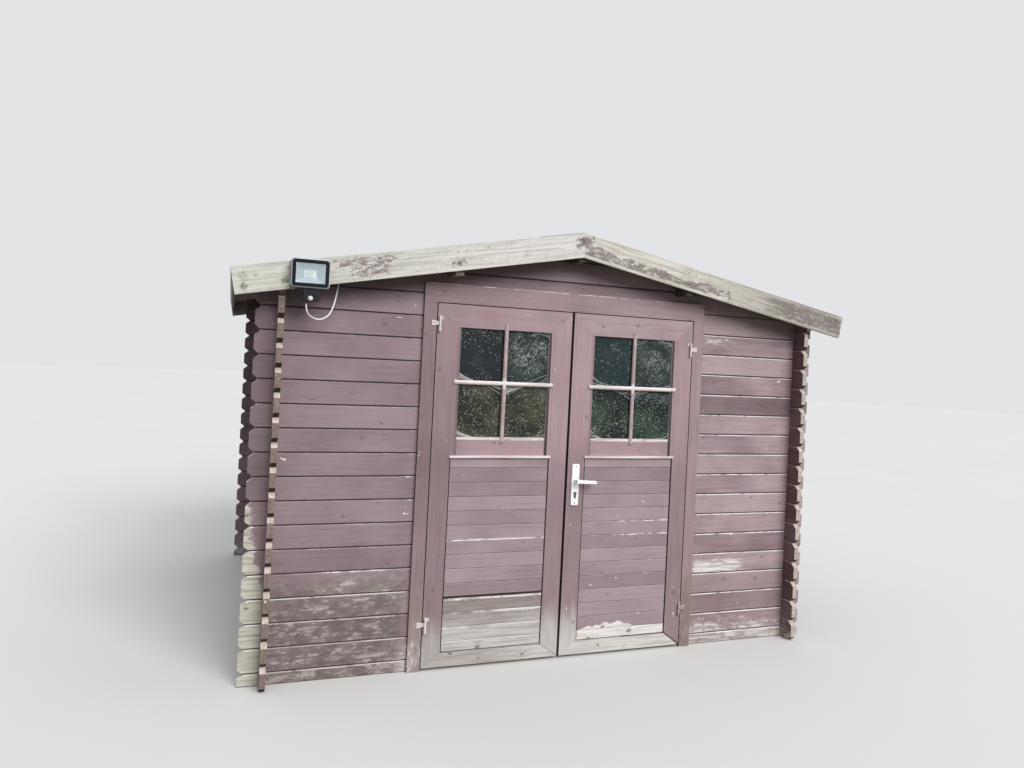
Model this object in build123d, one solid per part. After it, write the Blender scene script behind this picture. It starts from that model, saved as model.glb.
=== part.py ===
from build123d import *
import math
import os

os.makedirs("parts", exist_ok=True)

# A garden shed of interlocking wall logs, with a low gable to the front, two
# glazed door leaves, purlins, a boarded and felted roof, barge boards and a
# floodlight on the left barge board.
# X runs along the front wall to the viewer's right, Y from the front wall to
# the back wall, Z up. The origin is on the ground in the middle of the walls.
# All sizes are in millimetres.

# Wall logs
wall_width = 3000
wall_depth = 2400
log_thick = 28
course = 114
side_courses = 17
log_end = 95
log_gap = 0.4
joint_chamfer = 4.5
tip_chamfer_long = 28
tip_chamfer_high = 23

# Roof
roof_rise = 285
eaves_reach = 209
gable_reach = 113
roof_board_thick = 18
roof_board_wide = 96
roof_groove = 3
felt_thick = 3
barge_wide = 125
barge_thick = 20
barge_above_felt = 2
eaves_board_thick = 16
eaves_board_wide = 70
purlin_wide = 42
purlin_high = 126
purlin_from_ridge = 658
roof_gap = 0.4

# Floor
joist_wide = 45
joist_high = 45
joist_pitch = 280
joists_each_side = 4
floor_thick = 18
floor_board_wide = 96
floor_groove = 3
floor_gap = 0.4

# Door opening and its frame
door_offset = 9
opening_width = 1540
casing_wide = 66
casing_proud = 18
lining_thick = 22
stop_wide = 16
frame_gap = 0.5
head_low = 1841
head_high = 97
sill_thick = 22
sill_upstand = 6

# Door leaves
leaf_clear = 5
leaf_stop_clear = 6
leaf_thick = 38
leaf_low = 15
middle_gap = 14
stile_wide = 96
top_rail_high = 114
middle_rail_low = 1067
middle_rail_high = 102
bottom_rail_high = 69
window_infill = 29
rebate_wide = 12
rebate_front = 14
member_gap = 0.4
panel_thick = 14
panel_first_board = 56
panel_board_high = 72.8
panel_groove = 3
panel_recess = 4
panel_open_joint = 6
panel_slipped_board = 9
panel_slip = 7
open_mitre = 5
glass_thick = 4
glazing_bead = 14
ledge_high = 12
ledge_proud = 8
ledge_beyond = 3
glazing_bar_wide = 22
glazing_bar_proud = 9
glazing_bar_beyond = 26

# Hinges
barrel_radius = 6.5
barrel_half = 40
barrel_joint = 18
pin_radius = 3.5
pin_clear = 0.08
pin_high = 14
bore_high = 17
barrel_gap = 0.4
barrel_inset = 11
barrel_stand_off = 8
barrel_chamfer = 2
strap_long = 42
strap_high = 28
strap_narrow = 14
strap_thick = 2.5
tongue_long = 20
tongue_above_joint = 1
tongue_high = 17
left_hinges_up = [229, 1733]
right_hinges_up = [220, 1675]

# Handle
handle_inset = 46
spindle_up = 946
plate_below = 24
lock_below = 70
handle_plate_wide = 44
handle_plate_high = 220
handle_plate_thick = 8
handle_plate_corner = 9
handle_plate_chamfer = 2.5
spindle_side = 8
spindle_hole_radius = 10
lever_neck_radius = 9
lever_reach = 52
lever_long = 106
lever_wide = 19
lever_thick = 11
lever_tip_wide = 15.2
lever_round = 6.5
lever_tip_round = 5
lever_droop = 6
lever_clear = 0.05
lock_radius = 8.5
lock_tail_wide = 10
lock_high = 33
lock_proud = 3

# Floodlight
lamp_from_tip = 335
lamp_below_roof = 48
lamp_width = 172
lamp_height = 132
lamp_deep = 46
lamp_corner = 14
lamp_rim = 21
lamp_chamfer = 5
lamp_front = 190
lamp_wall = 4
reflector_narrow_wide = 55
reflector_narrow_high = 34
reflector_deep = 26
lamp_glass_thick = 4
bracket_wide = 60
bracket_thick = 4
sensor_right_of_lamp = 8
sensor_below_lamp = 98
sensor_width = 72
sensor_height = 54
sensor_deep = 40
sensor_front = 184
sensor_neck = 22
sensor_corner = 6
lamp_gap = 0.3
lamp_glass_sunk = 2
lug_high = 24
ear_high = 30
reflector_edge = 2

# Lamp cable
cable_radius = 3.5
cable_facets = 10
gland_radius = 8
gland_long = 10
sensor_gland_left = 19
sensor_gland_back = 20

# Worked out from the sizes above
front_face = -wall_depth / 2
back_face = wall_depth / 2
half_width = wall_width / 2
wall_top = side_courses * course
roof_tangent = roof_rise / half_width
pitch = math.atan(roof_tangent)
apex = wall_top + roof_rise
notch = course / 4
opening_left = door_offset - opening_width / 2
opening_right = door_offset + opening_width / 2
opening_top = (side_courses - 0.5) * course


def box(x_low, x_high, y_low, y_high, z_low, z_high):
    """A rectangular block between three pairs of planes."""
    block = Box(x_high - x_low, y_high - y_low, z_high - z_low)
    centre = ((x_low + x_high) / 2, (y_low + y_high) / 2, (z_low + z_high) / 2)
    return Pos(*centre) * block


def facing(points, y_front, y_back):
    """An outline in X and Z, thickened from one Y plane to another."""
    face = make_face(Polyline(*points, close=True))
    return extrude(Plane.XZ.offset(-y_back) * face, y_back - y_front)


def lying(points, z_low, z_high):
    """An outline in X and Y, thickened from one height to another."""
    face = make_face(Polyline(*points, close=True))
    return extrude(Plane.XY.offset(z_low) * face, z_high - z_low)


def sideways(points, x_low, x_high):
    """An outline in Y and Z, thickened from one X plane to another."""
    face = make_face(Polyline(*points, close=True))
    return extrude(Plane.YZ.offset(x_low) * face, x_high - x_low)


def save(node, *shapes):
    """Writes the solids of one sub-part."""
    solids = [solid for shape in shapes for solid in shape.solids()]
    export_step(Compound(solids), f"parts/{node}.step")
    print(node, len(solids))


def mirrored(shapes, plane=Plane.YZ):
    return [mirror(shape, plane) for shape in shapes]


def roof_under(across):
    """Height of the underside of the roof boards, this far from the ridge."""
    return apex - abs(across) * roof_tangent


# Wall logs: a log lies along X with its middle at Y = 0, and is turned and
# moved to its wall afterwards. Its section has a small chamfer at each corner,
# so that two courses meet in a V joint.

def log_section(low, high, slope=0):
    """Section in Y and Z. The slope lifts the top from the back face to the front face."""
    half = log_thick / 2
    c = joint_chamfer
    return [
        (-half, low + c),
        (-half + c, low),
        (half - c, low),
        (half, low + c),
        (half, high - c),
        (half - c, high + c * slope),
        (-half + c, high + (log_thick - c) * slope),
        (-half, high + log_thick * slope - c),
    ]


def notch_points(middle, edge, depth):
    """Four points of a notch where a wall crosses. A negative depth cuts down from the top."""
    slot = log_thick / 2 + log_gap
    return [
        (middle - slot, edge),
        (middle - slot, edge + depth),
        (middle + slot, edge + depth),
        (middle + slot, edge),
    ]


def log_outline(start, end, low, high, crossings, on_ground=False):
    """Outline in X and Z: chamfered tips, and notches where a wall crosses."""
    long = tip_chamfer_long
    tip_left = start < min(crossings)
    tip_right = end > max(crossings)
    corner = min(tip_chamfer_high, (high - low) / 2 - 2)
    points = [(start, low + corner), (start + long, low)] if tip_left and not on_ground else [(start, low)]
    if not on_ground:
        for middle in sorted(crossings):
            points += notch_points(middle, low, notch)
    points += [(end - long, low), (end, low + corner)] if tip_right and not on_ground else [(end, low)]
    points += [(end, high - corner), (end - long, high)] if tip_right else [(end, high)]
    for middle in sorted(crossings, reverse=True):
        points += reversed(notch_points(middle, high, -notch))
    points += [(start + long, high), (start, high - corner)] if tip_left else [(start, high)]
    return points


def wall_log(start, end, low, high, crossings, on_ground=False):
    section = sideways(log_section(low, high), start, end)
    outline = log_outline(start, end, low, high, crossings, on_ground)
    return section & facing(outline, -log_thick, log_thick)


def wall_courses(start, end, crossings):
    """Courses of a front or back wall, from the half course on the ground."""
    logs = [wall_log(start, end, 0, course / 2 - log_gap, crossings, on_ground=True)]
    for number in range(1, side_courses):
        low = (number - 0.5) * course
        logs.append(wall_log(start, end, low, low + course - log_gap, crossings))
    return logs


def purlin_slot(across):
    """The room that a purlin needs where it passes through a gable."""
    half = purlin_wide / 2 + log_gap
    low = roof_under(across) - purlin_high
    return box(across - half, across + half, -log_thick, log_thick, low - log_gap, apex + course)


def gable_logs():
    """The sloped logs over the walls, cut to the roof and for the purlins."""
    crossings = [-half_width + log_thick / 2, half_width - log_thick / 2]
    reach = half_width + log_end
    under = roof_gap
    roof_line = [
        (-reach, 0),
        (reach, 0),
        (reach, roof_under(reach) - under),
        (0, apex - under),
        (-reach, roof_under(reach) - under),
    ]
    room = facing(roof_line, -log_thick, log_thick)
    logs = []
    low = (side_courses - 0.5) * course
    while low < apex - course / 4:
        high = low + course - log_gap
        span = (apex - low) / roof_tangent
        bar = sideways(log_section(low, high), -min(reach, span), min(reach, span))
        bar = bar & room
        if low < wall_top:
            for middle in crossings:
                slot = log_thick / 2 + log_gap
                bar = bar - box(middle - slot, middle + slot, -log_thick, log_thick, low - 1, low + notch)
        for across in (-purlin_from_ridge, 0, purlin_from_ridge):
            bar = bar - purlin_slot(across)
        logs.append(bar)
        low += course
    return logs


def front_walls():
    side_middle = half_width - log_thick / 2
    reach = half_width + log_end
    into_wall = front_face + log_thick / 2
    left = wall_courses(-reach, opening_left, [-side_middle])
    right = wall_courses(opening_right, reach, [side_middle])
    save("front_wall_left", *[Pos(0, into_wall, 0) * log for log in left])
    save("front_wall_right", *[Pos(0, into_wall, 0) * log for log in right])
    save("front_gable", *[Pos(0, into_wall, 0) * log for log in gable_logs()])


def back_walls():
    side_middle = half_width - log_thick / 2
    reach = half_width + log_end
    into_wall = back_face - log_thick / 2
    logs = wall_courses(-reach, reach, [-side_middle, side_middle])
    save("back_wall", *[Pos(0, into_wall, 0) * log for log in logs])
    save("back_gable", *[Pos(0, into_wall, 0) * log for log in gable_logs()])


def side_walls():
    end_middle = back_face - log_thick / 2
    reach = back_face + log_end
    logs = []
    for number in range(side_courses - 1):
        low = number * course
        logs.append(wall_log(-reach, reach, low, low + course - log_gap, [-end_middle, end_middle]))
    low = wall_top - course
    reach = back_face + gable_reach
    slot = log_thick / 2 + log_gap
    rafter_log = sideways(log_section(low, wall_top - roof_gap, roof_tangent), -reach, reach)
    for middle in (-end_middle, end_middle):
        rafter_log -= box(middle - slot, middle + slot, -log_thick, log_thick, low - 1, low + notch)
        above = wall_top - log_gap - notch
        rafter_log -= box(middle - slot, middle + slot, -log_thick, log_thick, above, apex)
    logs.append(rafter_log)
    turned = [Pos(-half_width + log_thick / 2, 0, 0) * Rot(0, 0, 90) * log for log in logs]
    save("left_side_wall", *turned)
    save("right_side_wall", *mirrored(turned))


# Roof: each slope is drawn as an outline in X and Z and thickened along Y.

def on_slope(along, above):
    """A point on the right slope: so far down the slope, so far above the boards' underside."""
    across = along * math.cos(pitch) + above * math.sin(pitch)
    return across, apex - along * math.sin(pitch) + above * math.cos(pitch)


def at_ridge(above):
    """Where a line parallel to the slope, so far above the underside, meets the ridge joint."""
    return roof_gap / 2, apex + above / math.cos(pitch) - roof_gap / 2 * roof_tangent


def slope_outline(low, high, end):
    """A board of the right slope between two heights above the underside, plumb at the ridge."""
    return [at_ridge(low), on_slope(end, low), on_slope(end, high), at_ridge(high)]


roof_end = (half_width + eaves_reach) / math.cos(pitch)
roof_half_depth = back_face + gable_reach
covering_top = roof_board_thick + felt_thick


def roof():
    boards_end = roof_end - eaves_board_thick - roof_gap
    boards = facing(slope_outline(0, roof_board_thick, boards_end), -roof_half_depth, roof_half_depth)
    count = round(2 * roof_half_depth / roof_board_wide)
    wide = 2 * roof_half_depth / count
    g = roof_groove
    for number in range(1, count):
        y = -roof_half_depth + number * wide
        groove = sideways([(y - g, -1), (y + g, -1), (y, g)], -roof_end, roof_end)
        boards -= Pos(0, 0, apex) * Rot(0, math.degrees(pitch), 0) * groove
    felt_low = roof_board_thick + roof_gap
    felt = facing(slope_outline(felt_low, covering_top, roof_end), -roof_half_depth, roof_half_depth)
    edge = [
        on_slope(roof_end - eaves_board_thick, roof_board_thick),
        on_slope(roof_end - eaves_board_thick, roof_board_thick - eaves_board_wide),
        on_slope(roof_end, roof_board_thick - eaves_board_wide),
        on_slope(roof_end, roof_board_thick),
    ]
    eaves = facing(edge, -roof_half_depth, roof_half_depth)
    top = covering_top + barge_above_felt
    outline = slope_outline(top - barge_wide, top, roof_end)
    front = -roof_half_depth - roof_gap
    barge = facing(outline, front - barge_thick, front)
    back_barge = mirror(barge, Plane.XZ)
    save("roof_boards_left", mirror(boards, Plane.YZ))
    save("roof_boards_right", boards)
    save("roof_felt", mirror(felt, Plane.YZ), felt)
    save("eaves_boards", mirror(eaves, Plane.YZ), eaves)
    save("front_barge_left", mirror(barge, Plane.YZ))
    save("front_barge_right", barge)
    save("back_barge_boards", mirror(back_barge, Plane.YZ), back_barge)


def purlins():
    half = purlin_wide / 2
    low = apex - purlin_high
    ridge = [
        (-half, low),
        (half, low),
        (half, roof_under(half) - roof_gap),
        (0, apex - roof_gap),
        (-half, roof_under(half) - roof_gap),
    ]
    save("ridge_purlin", facing(ridge, -roof_half_depth, roof_half_depth))
    near = purlin_from_ridge - half
    far = purlin_from_ridge + half
    low = roof_under(purlin_from_ridge) - purlin_high
    outline = [
        (near, low),
        (far, low),
        (far, roof_under(far) - roof_gap),
        (near, roof_under(near) - roof_gap),
    ]
    right = facing(outline, -roof_half_depth, roof_half_depth)
    save("side_purlins", mirror(right, Plane.YZ), right)


# Floor: joists on the ground and boards over them, between the walls and
# behind the door sill.

leaf_front = front_face - casing_proud
leaf_back = leaf_front + leaf_thick
leaf_top = head_low - leaf_clear
stop_front = leaf_back + leaf_stop_clear
frame_back = front_face + log_thick + casing_proud
jamb_left = opening_left + frame_gap + lining_thick
jamb_right = opening_right - frame_gap - lining_thick
sill_back = stop_front + sill_thick
floor_low = joist_high
floor_high = joist_high + floor_thick


def floor():
    reach = half_width - log_thick - floor_gap
    joists = []
    for number in range(-joists_each_side, joists_each_side + 1):
        middle = number * joist_pitch
        joists.append(box(-reach, reach, middle - joist_wide / 2, middle + joist_wide / 2, 0, joist_high))
    save("floor_joists", *joists)
    front = front_face + log_thick + floor_gap
    back = back_face - log_thick - floor_gap
    boards = box(-reach, reach, front, back, floor_low, floor_high)
    beside_left = jamb_left - casing_wide - floor_gap
    beside_right = jamb_right + casing_wide + floor_gap
    boards -= box(beside_left, beside_right, front - 1, sill_back + floor_gap, 0, floor_high + 1)
    count = round(2 * reach / floor_board_wide)
    for number in range(1, count):
        x = -reach + number * 2 * reach / count
        g = floor_groove
        boards -= facing([(x - g, floor_high + 1), (x + g, floor_high + 1), (x, floor_high - g)], front, back)
    save("floor_boards", boards)


# Door frame: jambs and head grip the cut ends of the logs from both faces.

def door_frame():
    out = jamb_left - casing_wide
    grip = opening_left + frame_gap
    outline = [
        (out, front_face - casing_proud),
        (jamb_left, front_face - casing_proud),
        (jamb_left, stop_front),
        (jamb_left + stop_wide, stop_front),
        (jamb_left + stop_wide, frame_back),
        (out, frame_back),
        (out, front_face + log_thick + frame_gap),
        (grip, front_face + log_thick + frame_gap),
        (grip, front_face - frame_gap),
        (out, front_face - frame_gap),
    ]
    jamb = lying(outline, 0, head_low - frame_gap)
    other = mirror(jamb, Plane.YZ.offset(door_offset))
    save("door_jambs", jamb, other)
    top = head_low + head_high
    grip = opening_top - frame_gap
    outline = [
        (front_face - casing_proud, head_low),
        (front_face - casing_proud, top),
        (front_face - frame_gap, top),
        (front_face - frame_gap, grip),
        (front_face + log_thick + frame_gap, grip),
        (front_face + log_thick + frame_gap, top),
        (frame_back, top),
        (frame_back, head_low - stop_wide),
        (stop_front, head_low - stop_wide),
        (stop_front, head_low),
    ]
    head = sideways(outline, jamb_left - casing_wide, jamb_right + casing_wide)
    out = jamb_left - casing_wide - 1
    past = jamb_left + stop_wide + frame_gap
    beside_jamb = box(out, past, stop_front - 1, frame_back + 1, 0, head_low)
    over_logs = box(out, opening_left + frame_gap, front_face - frame_gap,
                    front_face + log_thick + frame_gap, 0, top)
    for cut in (beside_jamb, over_logs):
        head -= cut
        head -= mirror(cut, Plane.YZ.offset(door_offset))
    save("door_head", head)
    save("door_sill", box(past, 2 * door_offset - past, stop_front, sill_back, 0, floor_high + sill_upstand))


# Door leaves: a mitred frame with a middle rail, a boarded panel below and one
# pane of glass above, with a cross of half-round bars over it.

def half_round(start, end, middle, upright):
    """A half-round bar on the leaf's face, along Z or X."""
    half = glazing_bar_wide / 2
    face = leaf_front - member_gap
    arc = ThreePointArc((-half, 0), (0, glazing_bar_proud), (half, 0))
    section = make_face([arc, Line((half, 0), (-half, 0))])
    if upright:
        plane = Plane((middle, face, start), x_dir=(1, 0, 0), z_dir=(0, 0, 1))
        return extrude(plane * Rot(0, 0, 180) * section, end - start)
    plane = Plane((start, face, middle), x_dir=(0, 0, 1), z_dir=(1, 0, 0))
    return extrude(plane * section, end - start)


def leaf(side, left, right, extra_cut=None):
    rail_top = middle_rail_low + middle_rail_high
    inner_left = left + stile_wide
    inner_right = right - stile_wide
    inner_low = leaf_low + bottom_rail_high
    inner_high = leaf_top - top_rail_high
    rebate = leaf_front + rebate_front
    r = rebate_wide
    glass_left = inner_left + window_infill
    glass_right = inner_right - window_infill
    ring = box(left, right, leaf_front, leaf_back, leaf_low, leaf_top)
    ring -= box(inner_left, inner_right, leaf_front - 1, leaf_back + 1, inner_low, inner_high)
    ring -= box(inner_left - r, inner_right + r, rebate, leaf_back + 1, inner_low - r, middle_rail_low + r)
    ring -= box(glass_left - r, glass_right + r, rebate, leaf_back + 1, inner_high - 1, inner_high + r)
    m = member_gap
    stile_left = [
        (left, leaf_low + m),
        (inner_left, inner_low + m),
        (inner_left, inner_high - m),
        (left, leaf_top - m),
    ]
    stile_right = [(left + right - x, z) for x, z in stile_left]
    rail_end = right - open_mitre if side == "right" else right
    rail_low = [(left, leaf_low), (rail_end, leaf_low), (inner_right, inner_low), (inner_left, inner_low)]
    rail_high = [(left, leaf_top), (right, leaf_top), (inner_right, inner_high), (inner_left, inner_high)]
    outlines = (stile_left, stile_right, rail_low, rail_high)
    members = [ring & facing(outline, leaf_front, leaf_back) for outline in outlines]
    middle = box(inner_left + m, inner_right - m, leaf_front, leaf_back, middle_rail_low, rail_top)
    middle -= box(left, right, rebate, leaf_back + 1, middle_rail_low - 1, middle_rail_low + r)
    middle -= box(glass_left - r, glass_right + r, rebate, leaf_back + 1, rail_top - r, rail_top + 1)
    lining = box(inner_left + m, glass_left, leaf_front + 1, leaf_back, rail_top + m, inner_high - m)
    lining -= box(glass_left - r, glass_left + 1, rebate, leaf_back + 1, rail_top, inner_high)
    other = mirror(lining, Plane.YZ.offset((left + right) / 2))
    if extra_cut is not None:
        members = [member - extra_cut for member in members]
    save(f"{side}_door_frame", *members, middle, lining, other)

    low = inner_low - r + m
    high = middle_rail_low + r - m
    front = rebate + m
    panel = box(inner_left - r + m, inner_right + r - m, front, front + panel_thick, low, high)
    j = panel_open_joint
    face = leaf_front + panel_recess
    panel += box(inner_left + j, inner_right - j, face, front + 1, inner_low + j, middle_rail_low - j)
    g = panel_groove
    first = middle_rail_low - panel_first_board
    boards = int((first - inner_low - j - g) / panel_board_high) + 1
    for board in range(boards):
        z = first - board * panel_board_high
        panel -= sideways([(face - 1, z - g - 1), (face - 1, z + g + 1), (face + g, z)], left, right)
        if side == "left" and board == panel_slipped_board:
            panel -= box(left, right, face - 1, front, z - panel_slip / 2, z + panel_slip / 2)
    save(f"{side}_door_panel", panel)

    glass_back = front + glass_thick
    save(f"{side}_door_glass", box(
        glass_left - r + m, glass_right + r - m, front, glass_back, rail_top - r + m, inner_high + r - m))
    bead_front = glass_back + m
    b = glazing_bead
    outer = (glass_left - r + m, glass_right + r - m, rail_top - r + m, inner_high + r - m)
    beads = [
        box(outer[0], outer[0] + b, bead_front, leaf_back, outer[2], outer[3]),
        box(outer[1] - b, outer[1], bead_front, leaf_back, outer[2], outer[3]),
        box(outer[0] + b + m, outer[1] - b - m, bead_front, leaf_back, outer[2], outer[2] + b),
        box(outer[0] + b + m, outer[1] - b - m, bead_front, leaf_back, outer[3] - b, outer[3]),
    ]
    save(f"{side}_door_beads", *beads)

    across = (left + right) / 2
    up = (rail_top + inner_high) / 2
    beyond = glazing_bar_beyond
    upright = half_round(rail_top - beyond, inner_high + beyond, across, True)
    level = half_round(glass_left - beyond, glass_right + beyond, up, False)
    save(f"{side}_glazing_bars", upright + level)
    ledge_low = middle_rail_low - ledge_high / 4
    save(f"{side}_door_ledge", box(
        inner_left - ledge_beyond, inner_right + ledge_beyond, leaf_front - m - ledge_proud, leaf_front - m,
        ledge_low, ledge_low + ledge_high))


leaf_left_edge = jamb_left + leaf_clear
leaf_right_edge = jamb_right - leaf_clear
left_axis_x = leaf_left_edge + barrel_inset
right_axis_x = leaf_right_edge - barrel_inset
hinge_axis_y = leaf_front - barrel_stand_off
plate_back = leaf_front - member_gap


def cylinder_up(x, y, low, high, radius):
    return Pos(x, y, (low + high) / 2) * Cylinder(radius, high - low)


def barrel(x, y, joint, end):
    """Half a hinge barrel, chamfered at its free end."""
    low, high = sorted((joint, end))
    shape = cylinder_up(x, y, low, high, barrel_radius)
    return chamfer(shape.edges().filter_by(lambda edge: abs(edge.center().Z - end) < 0.01), barrel_chamfer)


def hinge(across, up, away):
    """The fixed and the moving half of one hinge. Away is the X direction of the casing."""
    y = hinge_axis_y
    plate_front = plate_back - strap_thick
    joint = up + barrel_joint
    fixed = barrel(across, y, joint - barrel_gap / 2, up - barrel_half)
    fixed += cylinder_up(across, y, joint - barrel_gap, joint + pin_high, pin_radius)
    top = joint - barrel_gap
    middle = top - strap_high / 2
    far = across + away * strap_long
    fixed += facing([(across, middle - strap_narrow / 2), (far, top - strap_high), (far, top),
                     (across, middle + strap_narrow / 2)], plate_front, plate_back)
    moving = barrel(across, y, joint + barrel_gap / 2, up + barrel_half)
    tongue = sorted((across, across - away * tongue_long))
    low = joint + barrel_gap + tongue_above_joint
    moving += box(*tongue, plate_front, plate_back, low, low + tongue_high)
    moving -= cylinder_up(across, y, joint, joint + bore_high, pin_radius + pin_clear)
    return fixed, moving


def hinges():
    fixed = []
    for side, across, heights, away in (("left", left_axis_x, left_hinges_up, -1),
                                        ("right", right_axis_x, right_hinges_up, 1)):
        pairs = [hinge(across, up, away) for up in heights]
        fixed += [pair[0] for pair in pairs]
        save(f"{side}_hinge_barrels", *[pair[1] for pair in pairs])
    save("hinge_plates", *fixed)


# Handle: a long plate on each face of the right leaf, a lever on each, one
# square spindle through both, and a lock cylinder.

handle_x = door_offset + middle_gap / 2 + handle_inset
lock_up = spindle_up - lock_below


def along_y(x, z, front, back, radius):
    return Pos(x, (front + back) / 2, z) * Rot(90, 0, 0) * Cylinder(radius, back - front)


def lock_shape(grow, front, back):
    """The keyhole-shaped section of a lock cylinder."""
    body = along_y(handle_x, lock_up, front, back, lock_radius + grow)
    half = lock_tail_wide / 2 + grow
    bottom = lock_up + lock_radius - lock_high - grow
    return body + box(handle_x - half, handle_x + half, front, back, bottom, lock_up)


def rounded_block(x, z, wide, high, corner, front, back):
    """A block with rounded upright and level corners, seen from the front."""
    shape = RectangleRounded(wide, high, corner)
    return extrude(Plane((x, back, z), x_dir=(1, 0, 0), z_dir=(0, -1, 0)) * shape, back - front)


def front_chamfer(shape, front, size):
    return chamfer(shape.edges().filter_by(lambda edge: abs(edge.center().Y - front) < 0.01), size)


def both_faces(shape):
    """A copy of a fitting on the front face and one on the back face."""
    middle = (leaf_front + leaf_back) / 2
    return shape, mirror(shape, Plane.XZ.offset(-middle))


def handle_plate():
    front = leaf_front - member_gap - handle_plate_thick
    back = leaf_front - member_gap
    middle = spindle_up - plate_below
    plate = rounded_block(
        handle_x, middle, handle_plate_wide, handle_plate_high, handle_plate_corner, front, back)
    plate = front_chamfer(plate, front, handle_plate_chamfer)
    plate -= along_y(handle_x, spindle_up, front - 1, back + 1, lever_neck_radius + lever_clear)
    plate -= lock_shape(member_gap, front - 1, back + 1)
    return both_faces(plate)


def lever():
    tip_x = handle_x + lever_long
    tip_z = spindle_up - lever_droop
    half = lever_wide / 2
    tip_half = lever_tip_wide / 2
    front = leaf_front - lever_reach
    outline = [
        (handle_x - half, spindle_up - half),
        (tip_x, tip_z - tip_half),
        (tip_x, tip_z + tip_half),
        (handle_x - half, spindle_up + half),
    ]
    arm = facing(outline, front, front + lever_thick)
    arm = fillet(arm.edges().filter_by(Axis.Y), lever_round)
    neck = along_y(handle_x, spindle_up, front + lever_thick / 2, leaf_front - member_gap, lever_neck_radius)
    returned = box(tip_x - lever_thick, tip_x, front, front + 2 * lever_thick,
                   tip_z - tip_half, tip_z + tip_half)
    returned = fillet(returned.edges().filter_by(Axis.Y), lever_tip_round)
    out, inside = both_faces(arm + neck + returned)
    side = spindle_side / 2
    ends = member_gap + 1
    spindle = box(handle_x - side, handle_x + side, leaf_front - ends, leaf_back + ends,
                  spindle_up - side, spindle_up + side)
    return out + spindle + inside


def leaves():
    cut = along_y(handle_x, spindle_up, leaf_front - 1, leaf_back + 1, spindle_hole_radius)
    cut += lock_shape(member_gap, leaf_front - 1, leaf_back + 1)
    leaf("left", leaf_left_edge, door_offset - middle_gap / 2)
    leaf("right", door_offset + middle_gap / 2, leaf_right_edge, cut)
    save("handle_plates", *handle_plate())
    plate = member_gap + handle_plate_thick + lock_proud
    save("lock_cylinder", lock_shape(0, leaf_front - plate, leaf_back + plate))
    save("door_lever", lever())


# Floodlight on the front of the left barge board.

barge_front = -roof_half_depth - roof_gap - barge_thick
lamp_face = front_face - lamp_front
lamp_back = lamp_face + lamp_deep
lamp_across = -half_width - eaves_reach + lamp_from_tip
lamp_up = roof_under(lamp_across) - lamp_below_roof
sensor_across = lamp_across + sensor_right_of_lamp
sensor_up = lamp_up - sensor_below_lamp
sensor_face = front_face - sensor_front


def floodlight():
    x = lamp_across
    z = lamp_up
    g = lamp_gap
    half_wide = lamp_width / 2 - lamp_rim
    half_high = lamp_height / 2 - lamp_rim
    glass_front = lamp_face + lamp_glass_sunk
    glass_back = glass_front + lamp_glass_thick
    tray_front = glass_back + g
    tray_back = tray_front + reflector_deep
    housing = rounded_block(x, z, lamp_width, lamp_height, lamp_corner, lamp_face, lamp_back)
    housing = front_chamfer(housing, lamp_face, lamp_chamfer)
    housing -= box(x - half_wide, x + half_wide, lamp_face - 1, tray_back + g, z - half_high, z + half_high)
    lug_half = bracket_wide / 2 - bracket_thick - g
    lug_back = barge_front - bracket_thick - 2 * g
    housing += box(x - lug_half, x + lug_half, lamp_back - 1, lug_back, z - lug_high / 2, z + lug_high / 2)
    save("lamp_housing", housing)
    inner_wide = half_wide - g
    inner_high = half_high - g
    glass = box(x - inner_wide, x + inner_wide, glass_front, glass_back, z - inner_high, z + inner_high)
    save("lamp_glass", glass)

    tray = box(x - inner_wide, x + inner_wide, tray_front, tray_back, z - inner_high, z + inner_high)
    mouth_wide = inner_wide - reflector_edge
    mouth_high = inner_high - reflector_edge
    narrow_wide = reflector_narrow_wide / 2
    narrow_high = reflector_narrow_high / 2
    deep = tray_back - reflector_edge
    plan = [
        (x - mouth_wide, tray_front),
        (x + mouth_wide, tray_front),
        (x + narrow_wide, deep),
        (x - narrow_wide, deep),
    ]
    side = [
        (tray_front, z - mouth_high),
        (deep, z - narrow_high),
        (deep, z + narrow_high),
        (tray_front, z + mouth_high),
    ]
    hollow = lying(plan, z - half_high, z + half_high) & sideways(side, x - half_wide, x + half_wide)
    save("lamp_reflector", tray - hollow)

    half = bracket_wide / 2
    low = z - ear_high / 2
    high = z + ear_high / 2
    bracket = box(x - half, x + half, barge_front - bracket_thick - g, barge_front - g, low, high)
    for ear in (x - half, x + half - bracket_thick):
        bracket += box(ear, ear + bracket_thick, lamp_back + g, barge_front - g, low, high)
    save("lamp_bracket", bracket)


def sensor():
    back = sensor_face + sensor_deep
    x = sensor_across
    block = rounded_block(x, sensor_up, sensor_width, sensor_height, sensor_corner, sensor_face, back)
    half = sensor_neck / 2
    middle = (sensor_face + back) / 2
    block += box(x - half, x + half, middle - half / 2, middle + half / 2,
                 sensor_up, lamp_up - lamp_height / 2 - lamp_gap)
    save("lamp_sensor", block)


# Cable from the gland under the sensor box to the gland in the front wall. The
# points are chosen by hand, as steps from the first one to the viewer's right,
# into the wall and up.

cable_steps = [
    (0, 0, 0),
    (0, 0, -27),
    (17, 20, -56),
    (66, 57, -71),
    (112, 84, -47),
    (134, 98, 4),
    (145, 106, 58),
    (151, 110, 97),
    (155, 114, 125),
    (157, 128, 147),
    (157, 154, 147),
]
bend_share = 0.45


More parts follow.
